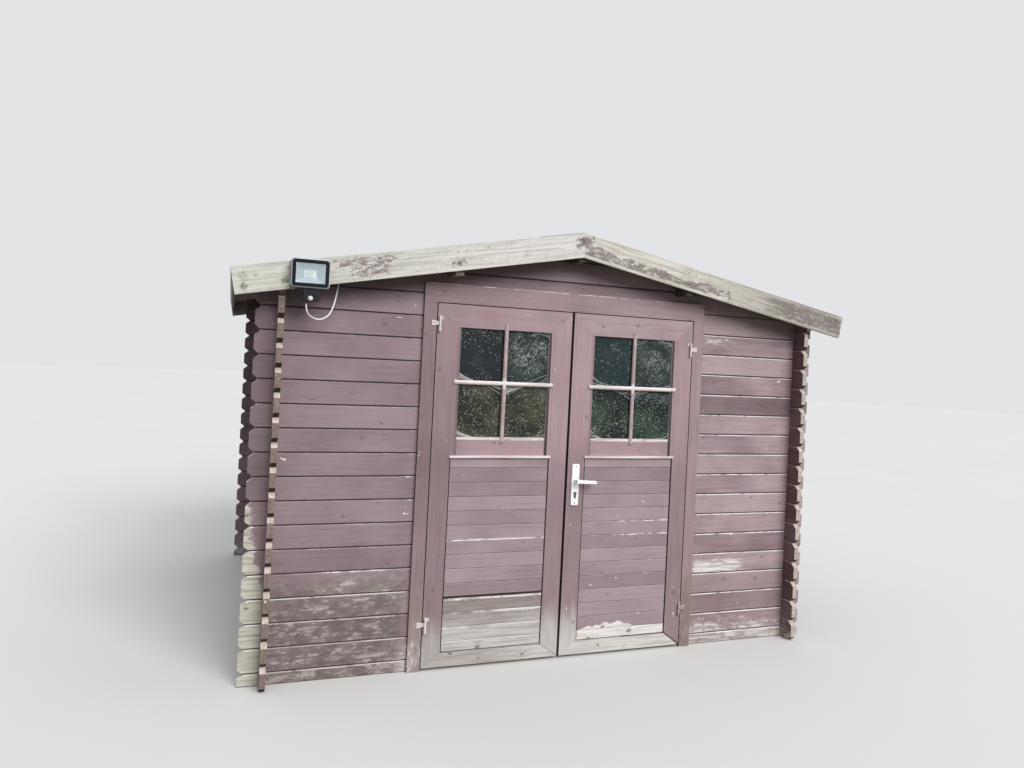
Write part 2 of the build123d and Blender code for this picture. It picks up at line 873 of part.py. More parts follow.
def cable():
    start = Vector(sensor_across - sensor_gland_left, sensor_face + sensor_gland_back,
                   sensor_up - sensor_height / 2 - gland_long)
    points = [start + Vector(step) for step in cable_steps]
    radii = []
    for before, here, after in zip(points, points[1:], points[2:]):
        turn = math.radians((here - before).get_angle(after - here))
        shorter = min((here - before).length, (after - here).length)
        radii.append(bend_share * shorter / math.tan(turn / 2))
    print("cable radii", [round(radius, 1) for radius in radii])
    path = FilletPolyline(*points, radius=radii)
    section = RegularPolygon(cable_radius, cable_facets)
    tube = sweep(Plane(path @ 0, z_dir=path % 0) * section, path)
    print("cable length", round(path.length, 1))
    print("volume ratio", round(tube.volume / (section.area * path.length), 4))
    save("lamp_cable", tube)
    low_gland = cylinder_up(start.X, start.Y, start.Z, start.Z + gland_long - lamp_gap, gland_radius)
    end = points[-1]
    wall_gland = along_y(end.X, end.Z, end.Y, front_face - lamp_gap, gland_radius)
    save("cable_glands", low_gland, wall_gland)


front_walls()
back_walls()
side_walls()
roof()
purlins()
floor()
door_frame()
leaves()
hinges()
floodlight()
sensor()
cable()
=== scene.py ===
# %% [markdown]
# # A painted garden shed
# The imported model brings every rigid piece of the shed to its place: the wall
# logs, the roof, the two door leaves and the floodlight. This lesson gives them
# the finishes of the real shed, old paint on pine, and adds what is too small
# for the solids: the cable, nails, felt laps, dust and cobwebs.

# %% Tools and the frame
import math
import random

import bmesh
import bpy
from mathutils import Matrix, Vector
from mathutils import noise as waves


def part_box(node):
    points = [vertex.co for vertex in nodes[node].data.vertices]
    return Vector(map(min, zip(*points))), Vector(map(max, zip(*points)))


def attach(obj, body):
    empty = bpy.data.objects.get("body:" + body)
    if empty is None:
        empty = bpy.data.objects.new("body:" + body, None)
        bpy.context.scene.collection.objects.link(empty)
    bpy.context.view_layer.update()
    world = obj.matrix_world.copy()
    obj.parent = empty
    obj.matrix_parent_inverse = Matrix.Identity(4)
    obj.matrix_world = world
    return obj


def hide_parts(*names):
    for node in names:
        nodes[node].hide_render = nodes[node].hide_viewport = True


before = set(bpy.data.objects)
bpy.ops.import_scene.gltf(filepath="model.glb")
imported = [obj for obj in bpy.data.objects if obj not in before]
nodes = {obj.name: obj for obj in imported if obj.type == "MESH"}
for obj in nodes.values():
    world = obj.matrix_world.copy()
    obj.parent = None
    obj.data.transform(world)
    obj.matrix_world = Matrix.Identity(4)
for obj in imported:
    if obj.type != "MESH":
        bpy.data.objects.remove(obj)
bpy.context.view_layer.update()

# %% [markdown]
# ## The camera
# The picture was taken from left of the doorway, about five metres off, at eye
# height. The three vectors are the directions that the camera calls right, up
# and back. They were solved from the corners of the roof, the casing and the
# log ends, so the edges fall where the photograph has them. A small shift
# stands for a picture that was not quite centred.

# %% Camera
scene = bpy.context.scene
scene.view_settings.view_transform = "Standard"

camera_right = Vector((0.93609, -0.34820, 0.05002))
camera_up = Vector((-0.04971, 0.00984, 0.99872))
camera_back = Vector((-0.34824, -0.93737, -0.00809))
camera_place = Vector((-1.6959, -4.9228, 1.5731))

lens = bpy.data.cameras.new("photo_camera")
lens.sensor_width = 36.0
lens.lens = 26.86
lens.shift_x = -0.00216
lens.shift_y = -0.0300
camera = bpy.data.objects.new("photo_camera", lens)
turn = Matrix((camera_right, camera_up, camera_back)).transposed()
camera.matrix_world = Matrix.Translation(camera_place) @ turn.to_4x4()
scene.collection.objects.link(camera)
scene.camera = camera
print("camera at", [round(v, 2) for v in camera_place])

# %% [markdown]
# ## The lamp's cable
# A white three-core cable leaves the gland under the sensor box, drops, sags
# in a U and climbs to a second gland in the front wall. It hangs from both
# ends, so a NURBS spline through a few given points is the honest way:
# it stays smooth between them, as a stiff sheath does. The order and the end
# point flag are set after the points, or the spline would stay at straight
# runs. The tube's radius is the bevel depth times each point's own radius.

# %% Cable
cable_start = Vector((-1.385, -1.364, 1.779))
cable_steps = [
    (0, 0, 0),
    (0, 0, -0.027),
    (0.017, 0.020, -0.056),
    (0.066, 0.057, -0.071),
    (0.112, 0.084, -0.047),
    (0.134, 0.098, 0.004),
    (0.145, 0.106, 0.058),
    (0.151, 0.109, 0.093),
    (0.155, 0.113, 0.121),
    (0.157, 0.133, 0.147),
    (0.157, 0.154, 0.147),
]
cable_radius = 0.0035
point_radius = 0.01

route = bpy.data.curves.new("cable_white", "CURVE")
route.dimensions = "3D"
spline = route.splines.new("NURBS")
spline.points.add(len(cable_steps) - 1)
for spline_point, step in zip(spline.points, cable_steps):
    spline_point.co = (*(cable_start + Vector(step)), 1.0)
    spline_point.radius = point_radius
spline.order_u = 3
spline.use_endpoint_u = True
spline.resolution_u = 16
route.bevel_depth = cable_radius / point_radius
route.bevel_resolution = 4
cable_white = bpy.data.objects.new("cable_white", route)
scene.collection.objects.link(cable_white)
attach(cable_white, "shed")
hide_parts("lamp_cable")
print("cable of", len(cable_steps), "points")

# %% [markdown]
# ## Floor and sun
# The shed is judged by its own colours, so the light is plain: a wide pale
# floor and one sun disc so large that its shadows have no edge. An overcast
# day does the same, and the roof's overhang then shades the wall below it.
# The soft sky comes last, with the floor's finish.

# %% Stage and light
floor_mesh = bmesh.new()
bmesh.ops.create_circle(floor_mesh, cap_ends=True, segments=96, radius=45.0)
floor_data = bpy.data.meshes.new("stage_floor")
floor_mesh.to_mesh(floor_data)
floor_mesh.free()
stage_floor = bpy.data.objects.new("stage_floor", floor_data)
scene.collection.objects.link(stage_floor)

sun = bpy.data.lights.new("overcast", "SUN")
sun.energy = 2.7
sun.angle = math.radians(40)
overcast = bpy.data.objects.new("overcast", sun)
overcast.rotation_euler = (math.radians(55), 0, math.radians(16))
scene.collection.objects.link(overcast)
print("sun strength", sun.energy)

# %% [markdown]
# ## Short words for nodes
# A shader tree is a drawing of boxes and wires. Each word below adds one box
# and wires its inputs: a number is typed into the socket, and another box's
# output is joined to it. A word finds its tree through the sockets that it is
# given. With these words a material reads like a sentence.

# %% Node words
def tint(red, green, blue):
    """A colour as a screen shows it, 0 to 255, in the linear values of nodes."""
    def linear(value):
        value /= 255
        return value / 12.92 if value <= 0.04045 else ((value + 0.055) / 1.055) ** 2.4
    return (linear(red), linear(green), linear(blue), 1.0)


def is_socket(value):
    return isinstance(value, bpy.types.NodeSocket)


def join(value, socket):
    """Wires an output to a socket, or types a number into it."""
    if is_socket(value):
        socket.id_data.links.new(value, socket)
    else:
        socket.default_value = value


def put(tree, kind, inputs=None, **settings):
    """A new box in a tree."""
    node = tree.nodes.new("ShaderNode" + kind)
    for name, value in settings.items():
        setattr(node, name, value)
    for name, value in (inputs or {}).items():
        join(value, node.inputs[name])
    return node


def add(kind, inputs, **settings):
    """A new box in the tree that its inputs come from."""
    socket = next(value for value in inputs.values() if is_socket(value))
    return put(socket.id_data, kind, inputs, **settings)


def reckon(operation, *values, **settings):
    return add("Math", dict(enumerate(values)), operation=operation, **settings).outputs[0]


def chain(operation, values):
    """Takes the values together, one after another."""
    total = values[0]
    for value in values[1:]:
        total = reckon(operation, total, value)
    return total


def plus(*values):
    return chain("ADD", values)


def times(*values):
    return chain("MULTIPLY", values)


def most(*values):
    return chain("MAXIMUM", values)


def less(value, taken):
    return reckon("SUBTRACT", value, taken)


def above(value, limit):
    return reckon("GREATER_THAN", value, limit)


def below(value, limit):
    return reckon("LESS_THAN", value, limit)


def away(value, centre=0.0):
    """How far a value is from a centre, to either side."""
    return reckon("ABSOLUTE", less(value, centre) if centre else value)


def fade(value, low, high, start=0.0, end=1.0):
    """From start to end as value goes from low to high, with soft ends."""
    inputs = {"Value": value, "From Min": low, "From Max": high, "To Min": start, "To Max": end}
    return add("MapRange", inputs, interpolation_type="SMOOTHSTEP").outputs[0]


def near(value, centre, reach):
    """One at the centre, nothing at the reach and past it."""
    return fade(away(value, centre), reach, reach * 0.4)


def blend(factor, first, second):
    return add("Mix", {0: factor, 2: first, 3: second}).outputs[0]


def mix(factor, first, second):
    return add("Mix", {0: factor, 6: first, 7: second}, data_type="RGBA").outputs[2]


def lay(colour, over, *masks):
    """Lays a colour over another, as far as all masks let it."""
    return mix(times(*masks), colour, over)


def noise(place, scale, detail=3.0, roughness=0.5, distortion=0.0):
    inputs = {"Vector": place, "Scale": scale, "Detail": detail, "Roughness": roughness,
              "Distortion": distortion}
    return add("TexNoise", inputs).outputs[0]


def ragged(place, scale, reach, detail=4.0, roughness=0.5):
    """Noise that goes as far below nothing as above it."""
    return times(less(noise(place, scale, detail, roughness), 0.5), reach)


def cells(place, scale, dimensions="3D"):
    """The distance to the nearest of many scattered points, and that point's own colour."""
    node = add("TexVoronoi", {"Vector": place, "Scale": scale}, voronoi_dimensions=dimensions)
    return node.outputs["Distance"], node.outputs["Color"]


def point(x, y, z=0.0):
    return add("CombineXYZ", {0: x, 1: y, 2: z}).outputs[0]


def parts(vector):
    return tuple(add("SeparateXYZ", {0: vector}).outputs)


print("node words ready")

# %% [markdown]
# ## Groups
# An effect that several materials share is built once, as a node group with
# named inputs and outputs, and placed in each with its own values.

# %% Group words
def group(name, inputs, outputs):
    """An empty group with number sockets. A socket named Place is a vector."""
    tree = bpy.data.node_groups.new(name, "ShaderNodeTree")
    for direction, labels in (("INPUT", inputs), ("OUTPUT", outputs)):
        for label in labels:
            kind = "NodeSocketVector" if label == "Place" else "NodeSocketFloat"
            tree.interface.new_socket(label, in_out=direction, socket_type=kind)
    entry = tree.nodes.new("NodeGroupInput")
    end = tree.nodes.new("NodeGroupOutput")
    return tree, entry.outputs, end.inputs


def give(end, **outputs):
    """Wires what a group puts out."""
    for label, value in outputs.items():
        join(value, end[label])


def use(tree, inputs):
    """Places a group in a material."""
    return add("Group", inputs, node_tree=tree).outputs


print("group words ready")

# %% [markdown]
# ## What pine looks like
# Sawn pine has long streaks where the knife cut through the year rings, a fine
# hair on top of them, and knots that push the streaks aside. Noise that is
# stretched along the board gives the streaks. The knots are the cells of a
# flat Voronoi pattern: a knot's nearness bends the streaks around it. Each
# board adds its own number to the place, so no two boards share a pattern.

# %% Timber group
pine, entry, end = group("pine", ["Along", "Across", "Depth", "Board"],
                         ["Streak", "Hair", "Knot", "Halo", "Blotch", "Height"])
board_shift = times(entry["Board"], 1.37)
along = plus(entry["Along"], times(board_shift, 3.1))
across = plus(entry["Across"], board_shift)
in_board = point(along, across, entry["Depth"])
wobble = ragged(in_board, 45.0, 0.03, 3.0)
distance, colour = cells(point(plus(along, wobble), plus(times(across, 1.5), wobble)), 4.6, "2D")
knot_size = most(times(less(parts(colour)[0], 0.35), 0.15), 0.001)
knot = fade(distance, knot_size, times(knot_size, 0.15))
halo = fade(distance, times(knot_size, 3.0), times(knot_size, 0.6))
bent = plus(across, times(halo, 0.014))
stretched = point(bent, entry["Depth"], times(along, 0.05))
streak = noise(stretched, 75.0, 4.0, 0.6, 0.3)
hair = noise(stretched, 420.0, 2.0, 0.6)
relief = plus(times(streak, 0.6), times(hair, 0.4), times(knot, -0.25))
give(end, Streak=streak, Hair=hair, Knot=knot, Halo=halo,
     Blotch=noise(in_board, 2.4, 3.0, 0.55), Height=relief)
print("pine group has", len(pine.nodes), "nodes")

# %% [markdown]
# ## How paint wears
# Paint lifts in ragged flakes. One rough noise is the paint's hold on the
# wood, and a material only says how worn each region is, from nothing to one.
# Where the noise is above what the wear leaves, the wood is bare. Droppings
# and chips are small round cells, and a slow noise gathers them in places.

# %% Wear group
worn_paint, entry, end = group("worn_paint", ["Place", "Amount", "Specks"], ["Bare", "Speck", "Thin"])
hold = noise(entry["Place"], 34.0, 7.0, 0.72, 0.35)
left_over = less(1.0, entry["Amount"])
jitter = add("TexNoise", {"Vector": entry["Place"], "Scale": 110.0, "Detail": 2.0}).outputs["Color"]
jitter = add("VectorMath", {0: jitter, "Scale": 0.024}, operation="SCALE").outputs[0]
shaken = add("VectorMath", {0: entry["Place"], 1: jitter}, operation="ADD").outputs[0]
distance, colour = cells(shaken, 30.0)
chance, share = parts(colour)[:2]
gathered = noise(entry["Place"], 3.0, 2.0)
chosen = above(plus(chance, times(gathered, entry["Specks"])), 1.12)
speck_size = times(share, 0.16)
give(end, Bare=fade(hold, less(left_over, 0.025), plus(left_over, 0.025)),
     Speck=times(chosen, fade(distance, speck_size, times(speck_size, 0.7))),
     Thin=fade(hold, less(left_over, 0.2), left_over))
print("wear group has", len(worn_paint.nodes), "nodes")

# %% [markdown]
# ## Boards side by side
# Logs, panel boards and floor boards lie at an even pitch. The whole number of
# a board gives each its own tone and pattern, and the height above its lower
# joint places the dirt.

# %% Board group
board_rows, entry, end = group("board_rows", ["Across", "First", "Pitch"], ["Board", "Tone", "Above"])
counted = reckon("DIVIDE", less(entry["Across"], entry["First"]), entry["Pitch"])
number = reckon("FLOOR", counted)
give(end, Board=number, Tone=add("TexWhiteNoise", {"W": number}, noise_dimensions="1D").outputs[0],
     Above=times(less(counted, number), entry["Pitch"]))
print("board group has", len(board_rows.nodes), "nodes")

# %% [markdown]
# ## A material and its place
# Every material reads Object coordinates, in metres, and the object's own
# normal. Both stay with a door leaf when it swings.

# %% New material
class Finish:
    """A material with a Principled shader, its place, and the place and normal split in parts."""

    def __init__(self, name, **constants):
        self.material = bpy.data.materials.new(name)
        self.material.use_nodes = True
        self.tree = self.material.node_tree
        self.shader = self.tree.nodes["Principled BSDF"]
        for label, value in constants.items():
            self.shader.inputs[label.replace("_", " ")].default_value = value
        where = put(self.tree, "TexCoord").outputs
        self.place = where["Object"]
        self.at = parts(self.place)
        self.facing = parts(where["Normal"])

    def shade(self, colour, roughness, height=None, depth=0.001, strength=0.6):
        join(colour, self.shader.inputs["Base Color"])
        join(roughness, self.shader.inputs["Roughness"])
        if height is not None:
            bump = add("Bump", {"Height": height, "Distance": depth, "Strength": strength})
            join(bump.outputs[0], self.shader.inputs["Normal"])
        return self.material


print("material words ready")

# %% [markdown]
# ## Old paint over pine
# Three looks lie on each other. The paint is brown-mauve and uneven. Where it
# has flaked, the weather has bleached or greyed the bare wood. Indoors the
# pine was never painted. A dark mask comes last, on top of all three: dirt,
# dark joints, and painted shade in gaps and recesses and on faces turned from the light.

# %% Painted timber
paint_wall = tint(162, 142, 147)
paint_dark = tint(126, 105, 109)
bare_pale = tint(214, 207, 202)
bare_grey = tint(156, 148, 143)
knot_brown = tint(96, 78, 68)
raw_pine = tint(194, 166, 130)
raw_streak = tint(156, 124, 90)
dropping = tint(232, 229, 224)
# Near-black for dirt and dark joints, and for painted shade.
soot_and_shade = tint(26, 18, 18)


def timber(finish, run, across, depth, board=0.0, tone=0.5, paint=paint_wall, shade=paint_dark,
           amount=0.25, specks=0.5, inside=0.0, grime_and_shade=0.0, pale=bare_pale, grey=bare_grey,
           flake=1.0, knots=0.62):
    """Amount is how far the paint has gone, inside is where it never was, and the dark mask lays dirt and
    painted shade on top.
    """
    grain = use(pine, {"Along": run, "Across": across, "Depth": depth, "Board": board})
    drawn_out = point(times(run, 0.45 * flake), times(across, flake), times(depth, flake))
    worn = use(worn_paint, {"Place": drawn_out, "Amount": amount, "Specks": specks})
    light_hair = fade(grain["Hair"], 0.55, 0.35)

    level = plus(times(grain["Streak"], 0.3), times(grain["Blotch"], 0.55))
    level = reckon("MULTIPLY_ADD", tone, 0.15, level)
    painted = mix(fade(level, 0.3, 0.66), shade, paint)
    painted = lay(painted, shade, fade(grain["Streak"], 0.44, 0.3), 0.35)
    painted = lay(painted, knot_brown, grain["Knot"], knots)
    painted = lay(painted, pale, worn["Thin"], 0.22)

    bare = mix(fade(grain["Streak"], 0.34, 0.62), grey, pale)
    bare = lay(bare, grey, light_hair, 0.25)
    bare = lay(bare, grey, grain["Halo"], 0.25)
    bare = lay(bare, knot_brown, grain["Knot"], 0.8)

    raw = mix(fade(grain["Streak"], 0.28, 0.66), raw_streak, raw_pine)
    raw = lay(raw, raw_streak, light_hair, 0.2)
    raw = lay(raw, knot_brown, grain["Knot"], 0.85)

    colour = mix(worn["Bare"], painted, bare)
    for over, mask in ((dropping, worn["Speck"]), (raw, inside), (soot_and_shade, grime_and_shade)):
        colour = lay(colour, over, mask)
    film = less(1.0, worn["Bare"])
    height = plus(times(grain["Height"], 0.6), times(film, 0.35), times(worn["Speck"], 0.5))
    roughness = blend(film, 0.9, fade(grain["Hair"], 0.3, 0.7, 0.6, 0.75))
    return finish.shade(colour, roughness, height, 0.0012, 0.55)


print("paint and pine ready")

# %% [markdown]
# ## Wall logs
# Front and back logs run across the shed and lie half a log higher than the
# side logs. The paint has gone first where rain hits: on the small bevel that
# looks up at each joint, more so towards the right, and near the ground. The
# bevels that look down are darkened almost to black as painted shade. Inside,
# the pine was never painted.

# %% Log wear group
course = 0.114
slope = 0.19
wall_half, depth_half = 1.5, 1.2
mid_log = 0.014


def indoors(finish):
    """One inside the four walls, nothing outside."""
    x, y = finish.at[:2]
    return times(below(away(x), wall_half - mid_log), below(away(y), depth_half - mid_log))


log_wear, entry, end = group("log_wear", ["Place", "Facing Up"],
                             ["Up", "Down", "Right", "Uneven", "Foot", "Lip", "Covered"])
x, y, z = parts(entry["Place"])
right = fade(x, -1.6, 1.5)
uneven = plus(z, times(noise(entry["Place"], 3.5), 0.3))
eaves_rows, lower_rows = fade(z, 1.90, 1.94, 0.0, 0.3), fade(z, 1.15, 0.95, 0.0, 0.04)
give(end, Up=fade(entry["Facing Up"], 0.3, 0.6), Down=fade(entry["Facing Up"], -0.3, -0.6),
     Right=right, Uneven=uneven, Foot=fade(uneven, 0.40, 0.12),
     Lip=plus(0.17, times(right, 0.20)), Covered=most(eaves_rows, lower_rows))
print("log wear group has", len(log_wear.nodes), "nodes")

# %% [markdown]
# The front has its own history. At the left corner the lower logs are soaked
# and streaked, and their tips have bleached. Right of the casing one patch is
# bare low down and a smaller one higher up. Painted shade darkens the top rows
# under the roof's overhang, more on the left, and the upper tips at the left
# corner; right under the barge boards it is almost black. One row at the right
# end is darker paint.

# %% Front logs
wall_mauve, wall_pink = tint(150, 131, 136), tint(178, 156, 160)


def front_logs(name):
    finish = Finish(name)
    x, y, z = finish.at
    log = use(log_wear, {"Place": finish.place, "Facing Up": finish.facing[2]})
    row = use(board_rows, {"Across": z, "First": course / 2, "Pitch": course})

    corner = times(fade(x, -0.8, -0.9), below(y, 0.0))
    soaked = times(corner, fade(z, 0.56, 0.34), above(x, -wall_half))
    tip_height = plus(z, times(plus(x, 1.58), 4.5), ragged(finish.place, 14.0, 0.35))
    tips = times(below(x, -wall_half), corner, fade(tip_height, 0.91, 0.70))
    rot = most(times(log["Foot"], blend(corner, 0.36, 0.28)),
               times(corner, fade(log["Uneven"], 0.72, 0.54), 0.23))
    covered = most(times(corner, fade(z, 0.6, 1.0), 0.09), log["Covered"])
    patch = times(fade(away(x, 1.0), 0.30, 0.10), near(z, 0.44, 0.06))
    small_patch = times(near(x, 0.95, 0.16), near(z, 1.735, 0.035))
    cut_face = above(away(finish.facing[0]), 0.4)
    amount = plus(0.22, times(log["Up"], less(log["Lip"], covered)), rot, times(patch, 0.34),
                  times(small_patch, 0.24), times(cut_face, 0.26), times(tips, 0.42))

    # Painted shade under the roof's overhang, stronger to the left, and on the upper tips at the left
    # corner; one row at the right end is darker paint.
    under_roof = plus(z, times(away(x), slope))
    eaves_shade = times(fade(under_roof, 1.96, 2.12), fade(x, 0.5, -0.2, 0.45, 0.9))
    tip_shade = times(fade(x, -1.48, -1.56), fade(z, 0.7, 1.0), 0.55)
    dark_row = times(near(z, 12 * course, 0.08), fade(x, 0.8, 0.85), 0.6)
    shade_and_dark_row = most(eaves_shade, tip_shade, dark_row)
    # Mauve at the left corner to pink at the right: the paint has faded more to the right, and the darker
    # left is partly painted shade.
    paint = mix(log["Right"], wall_mauve, wall_pink)
    paint = lay(paint, tint(148, 126, 128), fade(z, 0.48, 0.34), above(x, 0.0), 0.6)
    paint = lay(paint, tint(106, 92, 91), soaked)
    paint = lay(paint, tint(104, 85, 88), shade_and_dark_row)
    # Painted shadow, almost black, right under the barge boards.
    paint = lay(paint, tint(50, 40, 41), fade(under_roof, 2.11, 2.19), 0.7)
    shade = lay(lay(paint_dark, tint(90, 76, 74), soaked), tint(84, 66, 68), shade_and_dark_row)

    # The bare wood on the bevels that look up is paler: bleached, and partly a painted highlight.
    bevel = times(log["Up"], blend(soaked, 1.0, 0.35))
    pale = lay(lay(bare_pale, tint(208, 204, 192), tips), tint(178, 168, 162), soaked)
    pale = lay(pale, tint(238, 232, 227), most(bevel, patch))
    grey = lay(lay(bare_grey, tint(168, 162, 148), tips), tint(118, 107, 102), soaked)
    grey = lay(grey, tint(198, 188, 182), bevel)
    # The dark mask is painted shade on the bevels that look down, and a dark joint line along the foot of
    # each log.
    seam = fade(row["Above"], 0.0085, 0.0055)
    return timber(finish, x, z, y, row["Board"], row["Tone"], paint, shade, amount,
                  inside=indoors(finish), grime_and_shade=times(most(log["Down"], seam), 0.95),
                  pale=pale, grey=grey)


wall_front = front_logs("paint_front_logs")
print("front wall finish", wall_front.name)

# %% [markdown]
# The side logs show little more than their cut ends. Those have lost most of
# their paint, are brown on the left and paler on the right, and are palest on
# the bevels that look up, which are bleached and partly a painted highlight.
# Their bevels that look down are darkened with painted shade.

# %% Side logs
def side_logs(name):
    finish = Finish(name)
    x, y, z = finish.at
    facing_x, facing_y, facing_z = finish.facing
    log = use(log_wear, {"Place": finish.place, "Facing Up": facing_z})
    row = use(board_rows, {"Across": z, "First": 0.0, "Pitch": course})
    cut_face = above(away(facing_y), 0.4)
    amount = plus(0.22, times(log["Up"], less(log["Lip"], log["Covered"])), times(log["Foot"], 0.36),
                  times(cut_face, plus(0.35, times(log["Up"], 0.4))))
    on_right = above(x, 0.0)
    pale = mix(on_right, tint(138, 121, 113), tint(200, 189, 179))
    grey = mix(on_right, tint(114, 98, 91), tint(166, 153, 142))
    # Mauve on the left to pink on the right, the darker left partly painted shade. The right log ends' faces
    # that look left are a dark maroon: fresher paint, deepened with painted shade.
    fresh_and_shaded_faces = times(on_right, below(facing_x, -0.5), below(y, -depth_half))
    paint = lay(mix(log["Right"], wall_mauve, wall_pink), tint(94, 66, 69), fresh_and_shaded_faces)
    # Painted shade on the bevels that look down and on the lower bevels of the cut ends.
    under = most(log["Down"], times(cut_face, fade(facing_z, -0.05, -0.2)))
    return timber(finish, y, z, x, row["Board"], row["Tone"], paint, amount=amount,
                  inside=indoors(finish), grime_and_shade=times(under, 0.95),
                  pale=lay(pale, tint(206, 192, 181), log["Up"]),
                  grey=lay(grey, tint(176, 161, 149), log["Up"]))


wall_side = side_logs("paint_side_logs")
print("side wall finish", wall_side.name)

# %% [markdown]
# ## Door leaves
# Stiles stand and rails lie. The top and bottom rails meet the stiles in
# mitres, so the grain turns there. One mask says where the timber lies, from
# the distance to the leaf's nearest edge. The feet of the left leaf and the
# left foot of the right one have faded to bare wood, and dirt has darkened the
# stiles beside the middle gap.

# %% Leaf materials
leaf_edges = {"left": (-0.7335, 0.002), "right": (0.016, 0.7515)}
leaf_low, leaf_top = 0.015, 1.835
leaf_front = -1.218
stile = 0.096
top_tall, bottom_tall = 0.114, 0.069
window_infill = 0.029
window_low, window_high = 1.169, 1.721


def rail(from_end, tall, from_edge):
    """One where a rail lies between its two mitres."""
    return times(below(times(from_end, stile / tall), from_edge), below(from_end, tall))


def leaf_finish(side):
    finish = Finish(f"paint_{side}_leaf")
    x, y, z = finish.at
    facing_x, facing_y = finish.facing[:2]
    left, right = leaf_edges[side]

    from_edge = reckon("MINIMUM", less(x, left), less(right, x))
    from_foot = less(z, leaf_low)
    top_rail = rail(less(leaf_top, z), top_tall, from_edge)
    bottom = rail(from_foot, bottom_tall, from_edge)
    middle = times(above(from_edge, stile + window_infill), below(z, 1.17), above(z, 0.5))
    low_rails = most(bottom, middle)
    lies = most(top_rail, low_rails)
    run, across = blend(lies, z, x), blend(lies, x, z)
    by_right = above(x, (left + right) / 2)
    on_stile = less(1.0, lies)
    member = plus(times(top_rail, 2.0), times(low_rails, 5.0), times(by_right, on_stile))
    sideways = above(away(facing_x), 0.5)
    by_glass = times(above(z, window_low), above(from_edge, stile))
    reveal = times(sideways, by_glass)

    foot_right, faded_right = (1.0, 0.85) if side == "left" else (0.2, 0.0)
    frayed = ragged(point(x, y, times(z, 0.15)), 22.0, 0.5)
    stands = less(1.0, low_rails)
    foot = times(fade(plus(z, frayed), 0.34, 0.06), stands, blend(by_right, 1.0, foot_right))
    faded = times(fade(plus(z, times(frayed, 0.4)), 0.33, 0.10), stands,
                  blend(by_right, 0.85, faded_right))
    window_edge = times(low_rails, above(z, 1.155), 0.4)
    amount = plus(0.2, times(foot, 0.24), times(bottom, 0.5), window_edge, times(reveal, 0.75))

    across_mitre = less(times(from_foot, stile / bottom_tall), from_edge)
    open_joint = times(near(across_mitre, 0.003, 0.008), below(from_foot, bottom_tall + 0.004),
                       by_right, 0.25 if side == "left" else 0.95)
    joint = times(near(from_edge, stile + window_infill - 0.004, 0.012), above(z, 1.067),
                  below(z, window_high), blend(by_right, 0.3, 0.95), less(1.0, sideways))
    # The side faces near the front get soot: painted shade in the gaps round the leaf.
    edge = times(sideways, less(1.0, by_glass), fade(y, leaf_front + 0.030, leaf_front + 0.015))

    fresh, fresh_dirty = tint(171, 146, 151), tint(142, 121, 124)
    dull, dull_dirty = tint(151, 126, 131), tint(122, 101, 104)
    if side == "left":
        to_middle = fade(x, -0.45, -0.1)
        low_pale = mix(to_middle, tint(186, 181, 176), tint(208, 203, 197))
        low_grey = mix(to_middle, tint(162, 155, 149), tint(180, 174, 168))
        dirty = plus(times(fade(x, -0.50, -0.66), fade(z, 1.9, 0.5, 0.45, 1.0)),
                     times(by_right, on_stile, fade(z, 1.12, 0.82, 0.0, 0.7)))
        edge = times(edge, less(1.0, near(x, right - stile, 0.004)))
    else:
        low_pale, low_grey = tint(216, 213, 208), tint(188, 183, 177)
        dirty = times(on_stile, fade(z, 1.25, 0.95, 0.0, 0.75))
        fresh = lay(fresh, tint(188, 168, 172), top_rail, 0.6)
    low_down = fade(z, 0.5, 0.3)
    # The reveals beside the glass are bare and paler still, partly a painted highlight on faces that stand
    # in shade.
    pale = mix(reveal, tint(232, 224, 220), tint(250, 243, 240))
    return timber(finish, run, across, y, member, 0.6,
                  paint=lay(lay(fresh, fresh_dirty, dirty), low_pale, faded),
                  shade=lay(lay(dull, dull_dirty, dirty), low_grey, faded),
                  amount=amount, specks=0.62, inside=above(facing_y, 0.5),
                  grime_and_shade=most(times(edge, 0.75), joint, open_joint),
                  pale=lay(pale, low_pale, low_down), grey=lay(tint(190, 178, 174), low_grey, low_down))


leaf_paint = {side: leaf_finish(side) for side in leaf_edges}
print("leaf finishes", len(leaf_paint))

# %% [markdown]
# The panels are thin boards that lie in the frame. The four lowest boards of
# the left one have slipped, which opened a dark slot above them, and are bare.
# On the right one, only the lowest board has lost its paint, and the paint's
# edge creeps up and down. Some joints are chipped white.

# %% Panel materials
panel_first, panel_pitch = 0.0646, 0.0728
panel_joints = [panel_first + board * panel_pitch for board in range(10)]
slipped_top, slot_middle = 0.3475, 0.3600


